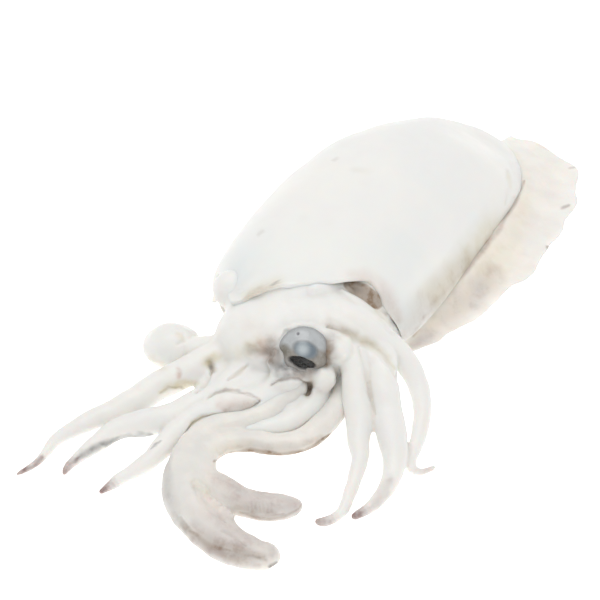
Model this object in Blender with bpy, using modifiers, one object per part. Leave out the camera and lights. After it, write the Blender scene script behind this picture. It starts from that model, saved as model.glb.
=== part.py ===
"""Whole raw cuttlefish, skinned, lying belly down with its head turned and its arms spread.

The mantle's middle line runs along +Y, from the open front rim to the tail, and the arms reach towards
-Y. Lengths below are in millimetres. The finished model stands on z = 0, its box centred on the origin.
"""

import math

import bmesh
import bpy
from mathutils import Vector

MM = 0.001

# Mantle: the bag-shaped body. Its cross section is a superellipse, broad on top and low at the sides.
MANTLE_WIDEST_Y = 40.0
MANTLE_TAIL_Y = 179.0
MANTLE_HALF_WIDTH = 48.5
MANTLE_HEIGHT = 43.0
MANTLE_SIDE_LEVEL = 0.24
MANTLE_SQUARENESS = 0.88
MANTLE_FRONT_SPAN = 60.0
MANTLE_FRONT_NARROWING = 0.19
MANTLE_FRONT_LOWERING = 0.10
MANTLE_TAIL_WIDTH_POWERS = (3.0, 0.6)
MANTLE_TAIL_HEIGHT_POWERS = (2.1, 0.5)
MANTLE_BOW_FRONT = 3.5
MANTLE_BOW_BACK = -6.0
MANTLE_BOW_SPAN = (-25.0, 95.0)
MANTLE_SEGMENTS = 36
MANTLE_RINGS = 17

# Rim: the mantle's front edge, set back on the right, where its hollow shows.
RIM_Y = -27.0
RIM_RIGHT_SETBACK = 44.0
RIM_RIGHT_SPAN = (-5.0, 50.0)
RIM_LEFT_SETBACK = 12.0
RIM_LEFT_SPAN = (-10.0, -45.0)
WALL = 4.5
HOLLOW_DEPTH = 38.0
HOLLOW_RINGS = 4

# Fins: thin skirts along both sides of the mantle, each with a frilled edge. Right is 1, left is -1.
FIN_FRONT_Y = {1: 8.0, -1: -14.0}
FIN_WIDTH = {1: 29.5, -1: 14.0}
FIN_TAIL_SHARE = {1: 0.4, -1: 0.12}
FIN_FRONT_SHARE = 0.2
FIN_FULL_FROM = 0.4
FIN_NARROWS_FROM = 0.7
FIN_THICKNESS = 2.4
FIN_ROOT_INSET = 5.0
FIN_FRILLS = 7.0
FIN_FRILL_DEPTH = 1.0
FIN_FRILL_LIFT = 1.4
FIN_STEPS_ALONG = 38
FIN_STEPS_ACROSS = 4

# Head: a dome turned towards the right, the neck that runs into the mantle, the low web that the arms
# leave from, and the mantle's rounded front lobe beside the neck.
HEAD_TURN = 36.0
HEAD_CENTRE = (18.0, -21.5, 14.0)
HEAD_RADII = (38.0, 25.0, 20.0)
NECK_CENTRE = (-9.0, 1.0, 17.0)
NECK_RADII = (32.0, 34.0, 22.0)
WEB_CENTRE = (19.0, -50.0, 5.0)
WEB_RADII = (30.0, 24.0, 9.0)
LOBE_CENTRE = (-29.0, -6.0, 10.0)
LOBE_RADII = (8.5, 13.0, 11.0)
DOME_SEGMENTS = 24

# Eyes: globes of one size, one facing up and out of the head, one on its far side, under it.
EYE_RADIUS = 11.5
EYE_GAP = 0.3
EYE_CENTRES = {"upper_eye": (28.0, -36.0, 21.0), "lower_eye": (6.0, -14.0, 9.0)}
EYE_SEGMENTS = 24

# Each limb's centre line, from its root in the head to its tip: x, y, height, half width.
ARMS = {
    "left_outer": [
        (-2, -38, 13, 6.5), (-12, -60, 8, 6.0), (-19.5, -74, 5.5, 6.0), (-21.5, -84, 5, 6.0),
        (-24, -96, 4.5, 5.2), (-28, -109, 4, 4.4), (-30, -120, 3, 3.2), (-29, -136, 1.6, 1.6),
        (-32, -142, 0.9, 0.7),
    ],
    "left_middle": [
        (8, -38, 14, 6.5), (8, -60, 9, 6.0), (2, -71, 7, 5.6), (-1.5, -84, 6, 6.4), (-8.5, -93, 5, 5.8),
        (-15.5, -102, 4.2, 4.6), (-17.5, -112, 3.4, 3.5), (-17.5, -125, 2, 1.9), (-14.5, -133.5, 0.9, 0.7),
    ],
    "left_inner": [
        (28, -48, 11, 6.5), (23, -61, 9, 6.8), (15.5, -69, 8, 7.0), (7.5, -79.5, 6.5, 6.0),
        (5, -89, 5.5, 5.5), (5.5, -107, 4, 3.9), (3.5, -119, 2.6, 2.5), (2, -129.5, 1.1, 0.9),
    ],
    "middle": [
        (35, -30, 13, 5.5), (40, -44.5, 8.5, 4.8), (40.5, -53.5, 7.5, 4.6), (38, -63, 7, 4.4),
        (31.5, -70.5, 6.5, 3.8), (23, -77, 5.5, 3.2),
    ],
    "right_inner": [
        (38, -20, 20, 6.5), (46, -26.5, 19, 5.8), (55, -37.5, 12, 5.6), (60.5, -45, 8, 6.0),
        (66, -53, 6, 5.4), (71, -62.5, 4.8, 4.2), (79, -80, 2.8, 2.3), (80.5, -88, 2.2, 1.9),
        (78.5, -92.5, 1.6, 1.5), (75, -93.5, 1.2, 0.8),
    ],
    "right_middle": [
        (40, -6, 19, 8.0), (55, -18, 16, 7.8), (64, -27, 13, 7.4), (70, -34.5, 9, 7.3), (76.5, -43, 7, 6.6),
        (82.7, -51, 5, 5.0), (87, -61, 3.8, 3.6), (89, -73, 2.4, 2.3), (87, -84.5, 1.1, 0.8),
    ],
    "right_outer": [
        (10, -18, 26, 8.0), (30, -13.5, 27, 7.2), (43.5, -11, 23, 6.6), (56.5, -8.5, 15, 5.7),
        (64.5, -10, 10, 5.0), (72, -15, 6.4, 4.4), (79, -24.5, 4.8, 3.8), (84, -35, 3.6, 3.2),
        (89, -48.5, 2, 2.0), (94.5, -51, 1.6, 1.4), (97.5, -41.5, 0.9, 0.7),
    ],
}

# The two long tentacles end in flattened crescent clubs.
TENTACLES = {
    "outer_club": [
        (32, -42, 13, 6.0), (30.5, -53, 10, 6.0), (29, -62, 8.5, 6.0), (23.5, -71.5, 7.5, 5.4),
        (16, -81, 7, 5.8), (15, -90, 6.5, 6.6), (18, -99, 6.5, 8.0), (24, -108.5, 6.5, 9.2),
        (32, -116, 6.5, 9.2), (43, -121.5, 6, 8.2), (55, -122, 5.6, 7.4), (66, -120.5, 4.8, 6.2),
        (73.5, -118.8, 3.8, 4.2), (77, -118, 2.6, 1.6),
    ],
    "inner_club": [
        (44, -24, 11, 5.0), (49, -40, 7, 5.0), (49.5, -54, 5.5, 5.2), (48, -65, 5.5, 5.2),
        (41.5, -72.5, 5.5, 4.8), (31.5, -78, 5.5, 4.8), (25, -85, 5.5, 5.2), (23.5, -93, 5.5, 5.8),
        (29, -101, 5.2, 5.8), (38, -103.5, 5, 5.2), (48, -103, 5, 5.4), (57, -99.5, 4.8, 5.6),
        (63, -94, 4, 4.4), (65, -88.5, 2.8, 1.8),
    ],
}

ARM_HEIGHT_SHARE = 0.86
TENTACLE_HEIGHT_SHARE = 0.72
LIMB_SIDES = 10
LIMB_STEPS = 3

# The coiled arm runs out to the left of the head and curls round a low mound into a knob.
COIL_CENTRE = (-29.0, -54.5, 7.0)
COIL_RADIUS = 7.0
COIL_HALF_WIDTH = 5.8
COIL_TAPER = 0.35
COIL_START = 20.0
COIL_SWEEP = 275.0
COIL_POINTS = 9
COIL_STEM = [(0, -36, 12, 7.0), (-10, -46, 9, 6.6)]
COIL_MOUND_RADII = (9.5, 9.5, 8.5)

# What lies below this height is cut away, which leaves flat places for the animal to rest on.
FLOOR_CUT = 0.35
FLOOR_BLOCK = (600.0, 600.0, 60.0)
WELD = 0.02

FLESH = (0.86, 0.85, 0.80)
EYE_GREY = (0.18, 0.21, 0.23)


def smoothstep(low, high, value):
    share = min(1.0, max(0.0, (value - low) / (high - low)))
    return share * share * (3.0 - 2.0 * share)


def plain_material(name, colour, roughness):
    material = bpy.data.materials.new(name)
    material.use_nodes = True
    shader = material.node_tree.nodes["Principled BSDF"]
    shader.inputs["Base Color"].default_value = (*colour, 1.0)
    shader.inputs["Roughness"].default_value = roughness
    shader.inputs["Metallic"].default_value = 0.0
    return material


def clear_scene():
    for obj in list(bpy.data.objects):
        bpy.data.objects.remove(obj, do_unlink=True)


def new_collection(name):
    collection = bpy.data.collections.new(name)
    bpy.context.scene.collection.children.link(collection)
    return collection


def add_mesh(name, shape, collection):
    """An object from a bmesh in millimetres, with its faces turned outwards."""
    bmesh.ops.recalc_face_normals(shape, faces=shape.faces)
    bmesh.ops.scale(shape, vec=(MM, MM, MM), verts=shape.verts)
    mesh = bpy.data.meshes.new(name)
    shape.to_mesh(mesh)
    shape.free()
    obj = bpy.data.objects.new(name, mesh)
    collection.objects.link(obj)
    return obj


def loft(rings):
    """A closed skin over rings of equal length, with each end drawn together to its ring's middle."""
    shape = bmesh.new()
    made = [[shape.verts.new(point) for point in ring] for ring in rings]
    for first, second in zip(made, made[1:]):
        for i in range(len(first)):
            j = (i + 1) % len(first)
            shape.faces.new((first[i], first[j], second[j], second[i]))
    for ring, order in ((made[0], 1), (made[-1], -1)):
        middle = shape.verts.new(sum((v.co for v in ring), Vector()) / len(ring))
        for i in range(len(ring)):
            corners = (ring[i], middle, ring[(i + 1) % len(ring)])
            shape.faces.new(corners[::order])
    return shape


def mantle_share(y, front_loss, powers):
    """The share of its full size that the mantle has at a station y, before and behind its widest one."""
    if y < MANTLE_WIDEST_Y:
        return 1.0 - front_loss * ((MANTLE_WIDEST_Y - y) / MANTLE_FRONT_SPAN) ** 2
    back = (y - MANTLE_WIDEST_Y) / (MANTLE_TAIL_Y - MANTLE_WIDEST_Y)
    return max(0.0, 1.0 - back ** powers[0]) ** powers[1]


def mantle_half_width(y):
    return MANTLE_HALF_WIDTH * mantle_share(y, MANTLE_FRONT_NARROWING, MANTLE_TAIL_WIDTH_POWERS)


def mantle_height(y):
    return MANTLE_HEIGHT * mantle_share(y, MANTLE_FRONT_LOWERING, MANTLE_TAIL_HEIGHT_POWERS)


def mantle_middle(y):
    """The bag is bowed a little: its middle line leaves the axis to the right, then to the left."""
    bow = MANTLE_BOW_FRONT + (MANTLE_BOW_BACK - MANTLE_BOW_FRONT) * smoothstep(*MANTLE_BOW_SPAN, y)
    return bow - MANTLE_BOW_BACK * smoothstep(MANTLE_BOW_SPAN[1], MANTLE_TAIL_Y, y)


def mantle_section(y, angle, inset):
    """A point of the mantle's cross section at a station y, moved in by the inset."""
    half_width = max(0.5, mantle_half_width(y) - inset)
    height = max(1.0, mantle_height(y) - inset)
    side = MANTLE_SIDE_LEVEL * mantle_height(y)
    across, up = math.cos(angle), math.sin(angle)
    rise = height - side if up > 0.0 else side - inset / 2
    x = mantle_middle(y) + half_width * math.copysign(abs(across) ** MANTLE_SQUARENESS, across)
    return x, side + rise * math.copysign(abs(up) ** MANTLE_SQUARENESS, up)


def rim_y(x):
    right = RIM_RIGHT_SETBACK * smoothstep(*RIM_RIGHT_SPAN, x)
    return RIM_Y + right + RIM_LEFT_SETBACK * smoothstep(*RIM_LEFT_SPAN, x)


def mantle_ring(share, inset=0.0, depth=0.0):
    """A ring at a share of the way from the rim (0) to the tail (1), or at a depth inside the rim."""
    ring = []
    for i in range(MANTLE_SEGMENTS):
        angle = 2.0 * math.pi * i / MANTLE_SEGMENTS
        front = rim_y(mantle_section(0.0, angle, 0.0)[0]) + depth
        y = front + (MANTLE_TAIL_Y - front) * share
        x, z = mantle_section(y, angle, inset)
        ring.append(Vector((x, y, z)))
    return ring


def make_mantle(collection):
    """A bag: the skin runs from the tail to the rim, turns in over it and lines the front hollow."""
    outer = [mantle_ring(math.sin(0.5 * math.pi * i / MANTLE_RINGS)) for i in range(MANTLE_RINGS)]
    lip = mantle_ring(0.0, WALL / 2, -WALL / 3)
    inner = [mantle_ring(0.0, WALL, HOLLOW_DEPTH * i / HOLLOW_RINGS) for i in range(HOLLOW_RINGS + 1)]
    return add_mesh("body", loft(outer[::-1] + [lip] + inner), collection)


def fin_width(side, share):
    """How far a fin stands out from the mantle, from its front end (0) to the tail (1)."""
    grow = 1.0 - (1.0 - FIN_FRONT_SHARE) * max(0.0, 1.0 - share / FIN_FULL_FROM) ** 2
    shrink = (1.0 - FIN_TAIL_SHARE[side]) * smoothstep(FIN_NARROWS_FROM, 1.0, share)
    return FIN_WIDTH[side] * grow * (1.0 - shrink)


def fin_point(side, share, out):
    """A point of a fin: share runs from front to tail, out from the root (0) to the edge (1)."""
    step = 0.4
    length = MANTLE_TAIL_Y - step - FIN_FRONT_Y[side]
    y = FIN_FRONT_Y[side] + length * math.sin(0.5 * math.pi * share)
    root = mantle_middle(y) + side * mantle_half_width(y)
    ahead = mantle_middle(y + step) + side * mantle_half_width(y + step)
    outward = Vector((step, (root - ahead) * side)).normalized()
    frill = math.sin(2.0 * math.pi * FIN_FRILLS * share + side)
    reach = fin_width(side, share) + FIN_FRILL_DEPTH * frill
    distance = (reach + FIN_ROOT_INSET) * out - FIN_ROOT_INSET
    root_level = MANTLE_SIDE_LEVEL * mantle_height(y)
    level = root_level + (FIN_THICKNESS / 2 - root_level) * smoothstep(0.0, 0.6, out)
    level += max(0.0, FIN_FRILL_LIFT * frill * (out - 0.6))
    return Vector((root + side * outward.x * distance, y + outward.y * distance, level))


def make_fin(name, side, collection):
    shape = bmesh.new()
    bmesh.ops.create_grid(shape, x_segments=FIN_STEPS_ALONG, y_segments=FIN_STEPS_ACROSS, size=0.5)
    for vert in shape.verts:
        vert.co = fin_point(side, vert.co.x + 0.5, vert.co.y + 0.5)
    fin = add_mesh(name, shape, collection)
    thickness = fin.modifiers.new("thickness", "SOLIDIFY")
    thickness.thickness = FIN_THICKNESS * MM
    thickness.offset = 0.0
    return fin


def make_dome(name, centre, radii, turn, collection):
    """An ellipsoid turned about the vertical."""
    shape = bmesh.new()
    bmesh.ops.create_uvsphere(shape, u_segments=DOME_SEGMENTS, v_segments=DOME_SEGMENTS // 2, radius=1.0)
    angle = math.radians(turn)
    for vert in shape.verts:
        x, y, z = (vert.co[i] * radii[i] for i in range(3))
        vert.co = (
            centre[0] + x * math.cos(angle) - y * math.sin(angle),
            centre[1] + x * math.sin(angle) + y * math.cos(angle),
            centre[2] + z,
        )
    return add_mesh(name, shape, collection)


def smooth_route(points):
    """Points on the smooth curve through a limb's own points, with its half width carried along."""
    route = []
    last = len(points) - 1
    for i in range(last):
        before, start, end, after = (Vector(points[k]) for k in (max(i - 1, 0), i, i + 1, min(i + 2, last)))
        slope_in = (end - before) / 2
        slope_out = (after - start) / 2
        for step in range(LIMB_STEPS):
            t = step / LIMB_STEPS
            along = start * (2 * t**3 - 3 * t**2 + 1) + end * (3 * t**2 - 2 * t**3)
            route.append(along + slope_in * (t**3 - 2 * t**2 + t) + slope_out * (t**3 - t**2))
    route.append(Vector(points[last]))
    return route


def coil_points():
    """The coiled arm's own points: out from the head, then round the knob."""
    points = list(COIL_STEM)
    for i in range(COIL_POINTS):
        share = i / (COIL_POINTS - 1)
        angle = math.radians(COIL_START + COIL_SWEEP * share)
        x = COIL_CENTRE[0] + COIL_RADIUS * math.cos(angle)
        y = COIL_CENTRE[1] + COIL_RADIUS * math.sin(angle)
        points.append((x, y, COIL_CENTRE[2], COIL_HALF_WIDTH * (1.0 - COIL_TAPER * share)))
    return points


def limb_profile(name, height_share, collection):
    """The oval that a limb is swept from, 1 mm in half width and lower than it is wide."""
    curve = bpy.data.curves.new(name, "CURVE")
    curve.dimensions = "2D"
    spline = curve.splines.new("POLY")
    spline.points.add(LIMB_SIDES - 1)
    spline.use_cyclic_u = True
    for i, point in enumerate(spline.points):
        angle = 2.0 * math.pi * i / LIMB_SIDES
        point.co = (math.cos(angle) * MM, height_share * math.sin(angle) * MM, 0.0, 1.0)
    profile = bpy.data.objects.new(name, curve)
    collection.objects.link(profile)
    return profile


def make_limb(name, points, profile, collection):
    """A tapering limb swept along its centre line, as a welded mesh."""
    route = smooth_route(points)
    curve = bpy.data.curves.new(name, "CURVE")
    curve.dimensions = "3D"
    curve.twist_mode = "Z_UP"
    curve.bevel_mode = "OBJECT"
    curve.bevel_object = profile
    curve.use_fill_caps = True
    spline = curve.splines.new("POLY")
    spline.points.add(len(route) - 1)
    for point, place in zip(spline.points, route):
        point.co = (place[0] * MM, place[1] * MM, place[2] * MM, 1.0)
        point.radius = place[3]
    swept = bpy.data.objects.new(name, curve)
    collection.objects.link(swept)
    bpy.context.view_layer.update()
    mesh = bpy.data.meshes.new_from_object(swept.evaluated_get(bpy.context.evaluated_depsgraph_get()))
    bpy.data.objects.remove(swept, do_unlink=True)
    shape = bmesh.new()
    shape.from_mesh(mesh)
    bpy.data.meshes.remove(mesh)
    bmesh.ops.scale(shape, vec=(1 / MM, 1 / MM, 1 / MM), verts=shape.verts)
    bmesh.ops.remove_doubles(shape, verts=shape.verts, dist=WELD)
    return add_mesh(name, shape, collection)


def make_globe(name, centre, radius, collection):
    shape = bmesh.new()
    bmesh.ops.create_uvsphere(shape, u_segments=EYE_SEGMENTS, v_segments=EYE_SEGMENTS // 2, radius=radius)
    bmesh.ops.translate(shape, vec=centre, verts=shape.verts)
    return add_mesh(name, shape, collection)


def make_floor_block(collection):
    """Everything below the cutting height."""
    shape = bmesh.new()
    bmesh.ops.create_cube(shape, size=1.0)
    bmesh.ops.scale(shape, vec=FLOOR_BLOCK, verts=shape.verts)
    bmesh.ops.translate(shape, vec=(0, 0, FLOOR_CUT - FLOOR_BLOCK[2] / 2), verts=shape.verts)
    return add_mesh("floor_block", shape, collection)


def boolean(obj, operation, other):
    """A Boolean with one object or a whole collection, applied at once."""
    modifier = obj.modifiers.new(operation.lower(), "BOOLEAN")
    modifier.operation = operation
    modifier.solver = "EXACT"
    if isinstance(other, bpy.types.Collection):
        modifier.operand_type = "COLLECTION"
        modifier.collection = other
    else:
        modifier.object = other
    bpy.context.view_layer.update()
    mesh = bpy.data.meshes.new_from_object(obj.evaluated_get(bpy.context.evaluated_depsgraph_get()))
    obj.modifiers.clear()
    obj.data = mesh


def keep_outer_skin(obj):
    """Fills sealed hollows and drops scraps: only the largest connected skin stays."""
    shape = bmesh.new()
    shape.from_mesh(obj.data)
    unseen = set(shape.verts)
    islands = []
    while unseen:
        queue = [unseen.pop()]
        island = list(queue)
        while queue:
            vert = queue.pop()
            for edge in vert.link_edges:
                other = edge.other_vert(vert)
                if other in unseen:
                    unseen.remove(other)
                    island.append(other)
                    queue.append(other)
        islands.append(island)
    largest = max(islands, key=len)
    for island in islands:
        if island is not largest:
            bmesh.ops.delete(shape, geom=island, context="VERTS")
    shape.to_mesh(obj.data)
    shape.free()


def stand_on_origin(model):
    """Moves the whole model so that the middle of its box stands on the origin."""
    corners = [vert.co for obj in model.objects for vert in obj.data.vertices]
    low = Vector([min(corner[i] for corner in corners) for i in range(3)])
    high = Vector([max(corner[i] for corner in corners) for i in range(3)])
    shift = Vector((-(low.x + high.x) / 2, -(low.y + high.y) / 2, -low.z))
    for obj in model.objects:
        for vert in obj.data.vertices:
            vert.co += shift


def make_body(model, cutters):
    """Mantle, fins, head and limbs, joined into one solid."""
    body = make_mantle(model)
    pieces = new_collection("pieces")
    make_fin("right_fin", 1, pieces)
    make_fin("left_fin", -1, pieces)
    make_dome("head", HEAD_CENTRE, HEAD_RADII, HEAD_TURN, pieces)
    make_dome("neck", NECK_CENTRE, NECK_RADII, 0.0, pieces)
    make_dome("web", WEB_CENTRE, WEB_RADII, HEAD_TURN, pieces)
    make_dome("lobe", LOBE_CENTRE, LOBE_RADII, 0.0, pieces)
    arm_profile = limb_profile("arm_profile", ARM_HEIGHT_SHARE, cutters)
    tentacle_profile = limb_profile("tentacle_profile", TENTACLE_HEIGHT_SHARE, cutters)
    for name, points in ARMS.items():
        make_limb(name, points, arm_profile, pieces)
    for name, points in TENTACLES.items():
        make_limb(name, points, tentacle_profile, pieces)
    make_limb("coiled_arm", coil_points(), arm_profile, pieces)
    make_dome("coil_mound", COIL_CENTRE, COIL_MOUND_RADII, 0.0, pieces)
    boolean(body, "UNION", pieces)
    for piece in list(pieces.objects):
        bpy.data.objects.remove(piece, do_unlink=True)
    bpy.data.collections.remove(pieces)
    body.data.materials.clear()
    body.data.materials.append(plain_material("flesh", FLESH, 0.35))
    return body


def make_eye(name, centre, body, floor, model, cutters):
    """An eyeball, and the socket that it sits in with a thin gap all round."""
    socket = make_globe(name + "_socket", centre, EYE_RADIUS + EYE_GAP, cutters)
    boolean(body, "DIFFERENCE", socket)
    eye = make_globe(name, centre, EYE_RADIUS, model)
    boolean(eye, "DIFFERENCE", floor)
    eye.data.materials.append(plain_material(name, EYE_GREY, 0.15))


def main():
    clear_scene()
    model = new_collection("cuttlefish")
    cutters = new_collection("cutters")
    body = make_body(model, cutters)
    floor = make_floor_block(cutters)
    for name, centre in EYE_CENTRES.items():
        make_eye(name, centre, body, floor, model, cutters)
    boolean(body, "DIFFERENCE", floor)
    keep_outer_skin(body)
    stand_on_origin(model)
    for obj in model.objects:
        obj.data.shade_smooth()
    for cutter in cutters.objects:
        cutter.hide_render = True
        cutter.display_type = "WIRE"


main()
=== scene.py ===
"""Whole raw cuttlefish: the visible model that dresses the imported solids.

Shapes are worked out in the design's own millimetres, the mantle's middle line along +Y, and are moved
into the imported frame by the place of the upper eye.
"""

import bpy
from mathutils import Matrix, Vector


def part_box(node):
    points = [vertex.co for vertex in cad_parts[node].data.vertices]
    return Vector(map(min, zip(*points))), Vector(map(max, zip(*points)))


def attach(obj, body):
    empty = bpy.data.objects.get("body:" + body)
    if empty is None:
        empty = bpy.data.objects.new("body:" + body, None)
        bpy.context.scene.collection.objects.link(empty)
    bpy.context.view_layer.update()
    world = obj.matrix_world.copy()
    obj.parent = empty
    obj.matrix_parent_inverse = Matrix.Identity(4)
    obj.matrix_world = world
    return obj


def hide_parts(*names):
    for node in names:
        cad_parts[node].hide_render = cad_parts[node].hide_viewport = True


bl_info = {
    "name": "Whole Raw Cuttlefish",
    "version": (1, 0, 0),
    "blender": (4, 5, 0),
    "location": "View3D > Sidebar > Cuttlefish",
    "description": "Builds a skinned raw cuttlefish and the pale stage that it lies on",
    "category": "Add Mesh",
}

import math

import bpy
import numpy as np
from bpy.props import FloatProperty, FloatVectorProperty, PointerProperty
from mathutils import Vector, noise

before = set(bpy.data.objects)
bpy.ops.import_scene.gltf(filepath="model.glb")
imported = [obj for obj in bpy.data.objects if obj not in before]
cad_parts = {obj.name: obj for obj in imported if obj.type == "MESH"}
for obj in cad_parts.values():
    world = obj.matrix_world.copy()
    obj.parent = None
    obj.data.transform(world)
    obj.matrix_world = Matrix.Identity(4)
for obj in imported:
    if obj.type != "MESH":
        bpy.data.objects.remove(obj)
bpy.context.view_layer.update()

MM = 0.001

# Where the upper eye's centre lies in the design. The frame's own upper eye gives the shift between them.
UPPER_EYE = (28.0, -36.0, 21.0)
LOWER_EYE = (6.0, -14.0, 9.0)
EYE_RADIUS = 11.4
EYE_LEAN = -19.0
EYE_LOW, EYE_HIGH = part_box("upper_eye")
SHIFT = np.array([(EYE_LOW[i] + EYE_HIGH[i]) / 2 / MM - UPPER_EYE[i] for i in range(3)])
FLOOR_CUT = 0.4

# The photograph's view, from the front right and above. The upper eye looks straight at it.
VIEW_TURN = 36.0
VIEW_LIFT = 40.0
VIEW_DISTANCE = 520.0
VIEW_TARGET = (0.0, 0.0, 10.0)
VIEW_LENS = 70.0
VIEW_SENSOR = 36.0
PHOTO_SIZE = 600

# Mantle: a bag with a superellipse for a section, broad on top and low at the sides.
MANTLE_WIDEST_Y = 40.0
MANTLE_TAIL_Y = 179.0
MANTLE_HALF_WIDTH = 48.5
MANTLE_HEIGHT = 43.0
MANTLE_SIDE_LEVEL = 0.24
MANTLE_SQUARENESS = 0.88
MANTLE_FRONT_SPAN = 60.0
MANTLE_FRONT_NARROWING = 0.19
MANTLE_FRONT_LOWERING = 0.10
MANTLE_TAIL_WIDTH_POWERS = (3.0, 0.6)
MANTLE_TAIL_HEIGHT_POWERS = (2.1, 0.5)
MANTLE_BOW_FRONT = 3.5
MANTLE_BOW_BACK = -6.0
MANTLE_BOW_SPAN = (-25.0, 95.0)
MANTLE_OUTSIDE = 0.78
MANTLE_LIP = 0.84

# Rim: the mantle's front edge, as x and y. It hangs forward in a lobe on the left and is set back on the
# right, where its hollow shows.
RIM_X = (-60, -38, -32, -26, -20, -14.5, -9.5, -5, 0, 6, 14, 21, 26.5, 29, 32, 35, 39, 44, 48, 60)
RIM_Y = (-12, -16, -20, -25, -31, -34, -33.5, -29, -27.5, -24, -18, -11, -4, 1, 4, 5.5, 5, 3, 6, 14)
RIM_ROUNDING = (-2.0, -1.0, 0.0, 1.0, 2.0)
# Each wave has its height, its rate along x and its phase.
RIM_WAVES = ((0.35, 0.42, 0.0), (0.21, 0.97, 1.0))
FRONT_DROOP = 8.0
FRONT_DROOP_Y = (-6.0, -34.0)
FRONT_DROOP_X = (10.0, -14.0)
FRONT_DROOP_Z = (0.0, 20.0)
WALL = 1.8
# The hollow closes at its back from this share of its depth, towards this share of the mantle's height.
HOLLOW_DEPTH = 38.0
HOLLOW_CLOSING = 0.7
HOLLOW_LEVEL = 0.4
GRID_END = 0.9999
# Low on the right the mantle spreads over the fin's root, and the right of its tail lies lower.
SIDE_SPREAD = 4.5
SIDE_SPREAD_X = (26.0, 44.0)
SIDE_SPREAD_Y = (172.0, 150.0)
SIDE_SPREAD_Z = (22.0, 8.0)
TAIL_DIP = 0.39
TAIL_DIP_PLACE = (19.0, 161.0)
TAIL_DIP_RADIUS = 45.0

# Fins. Right is 1, left is -1.
FIN_FRONT_Y = {1: 8.0, -1: -16.0}
FIN_WIDTH = {1: 29.5, -1: 10.5}
FIN_TAIL_SHARE = {1: 0.4, -1: 0.12}
FIN_FRONT_SHARE = {1: 0.2, -1: 0.1}
FIN_FULL_FROM = 0.4
FIN_NARROWS_FROM = 0.7
FIN_CORNER = {1: 2.4, -1: 0.0}
FIN_CORNER_Y = 158.0
FIN_CORNER_SPAN = 8.0
FIN_THICKNESS = 2.2
FIN_EDGE_THICKNESS = 0.9
FIN_ROOT_INSET = 6.0
FIN_FRILLS = 7.0
FIN_FRILL_DEPTH = 1.0
FIN_FRILL_LIFT = 1.4
FIN_LIFTS_FROM = 0.6
# The ragged edge: rates along y, sizes in millimetres and phase.
FIN_RAGS = ((0.13, 0.31, 0.67, 1.3), (0.6, 0.35, 0.12, 0.05))
FIN_RAG_PHASE = 7.0
# From the mantle's side the fin swells a little, then comes down to the floor.
FIN_ROOT_LEVEL = 0.62
FIN_COMES_DOWN = (0.25, 0.8)
FIN_SWELL = 1.1
FIN_SWELL_RATE = 1.6
# How square the thickness ends across the fin and along it, and the step along y that its lean is taken over.
FIN_SQUARE_ACROSS = 14
FIN_SQUARE_ALONG = 60
FIN_STEP = 0.4

# Head: a dome turned to the right, the neck, the low web under the arms, and the collar beside the neck.
HEAD_TURN = 36.0
DOMES = [
    ("head", (18.0, -21.5, 14.0), (38.0, 25.0, 20.0), HEAD_TURN),
    ("neck", (-3.0, 4.0, 15.0), (28.0, 34.0, 20.0), 0.0),
    ("web", (19.0, -50.0, 5.0), (30.0, 24.0, 9.0), HEAD_TURN),
    ("coil_mound", (-29.0, -54.5, 7.0), (11.0, 11.0, 9.0), 0.0),
    ("nape", (6, -12, 19.5), (24, 22.5, 19.6), 0.0),
    ("nape_left", (-4.0, -25.0, 18.0), (15.0, 13.0, 13.5), 0.0),
    ("throat", (30, 8.0, 15.5), (15, 16, 18.2), 0.0),
    ("mantle_lobe", (-20.1, -23.3, 22.7), (7.7, 9.2, 8.2), 0.0),
    ("throat_left", (22.4, 2.9, 25.7), (8.5, 8.5, 8.5), 0.0),
    ("right_tissue", (40.2, -31.6, 23.8), (4.6, 4.6, 6.0), 0.0),
    ("arm_knob", (42.5, -25.5, 20.5), (5.5, 5.0, 5.5), 0.0),
    ("left_tissue", (22.6, -47.3, 21.8), (4.4, 4.4, 5.8), 0.0),
    ("eye_root", (28.5, -49.5, 15.2), (7.0, 5.5, 6.2), HEAD_TURN),
    ("lower_lumps", (34.5, -42.8, 17.5), (4.0, 4.0, 4.2), 0.0),
    ("middle_root", (41.0, -39.2, 15.0), (5.0, 5.0, 5.4), 0.0),
    ("collar", (41.0, 9.0, 9.0), (8.0, 10.0, 10.0), 20.0),
]
# The fold of skin that overlaps the ball: an arc in the view, from and to these angles.
LID_ARC = (-25.0, 205.0)
LID_RING = 10.6
LID_DEPTH = 4.4
LID_HALF_WIDTH = 2.0
LID_END_SHARE = 0.6
LID_POINTS = 15

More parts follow.
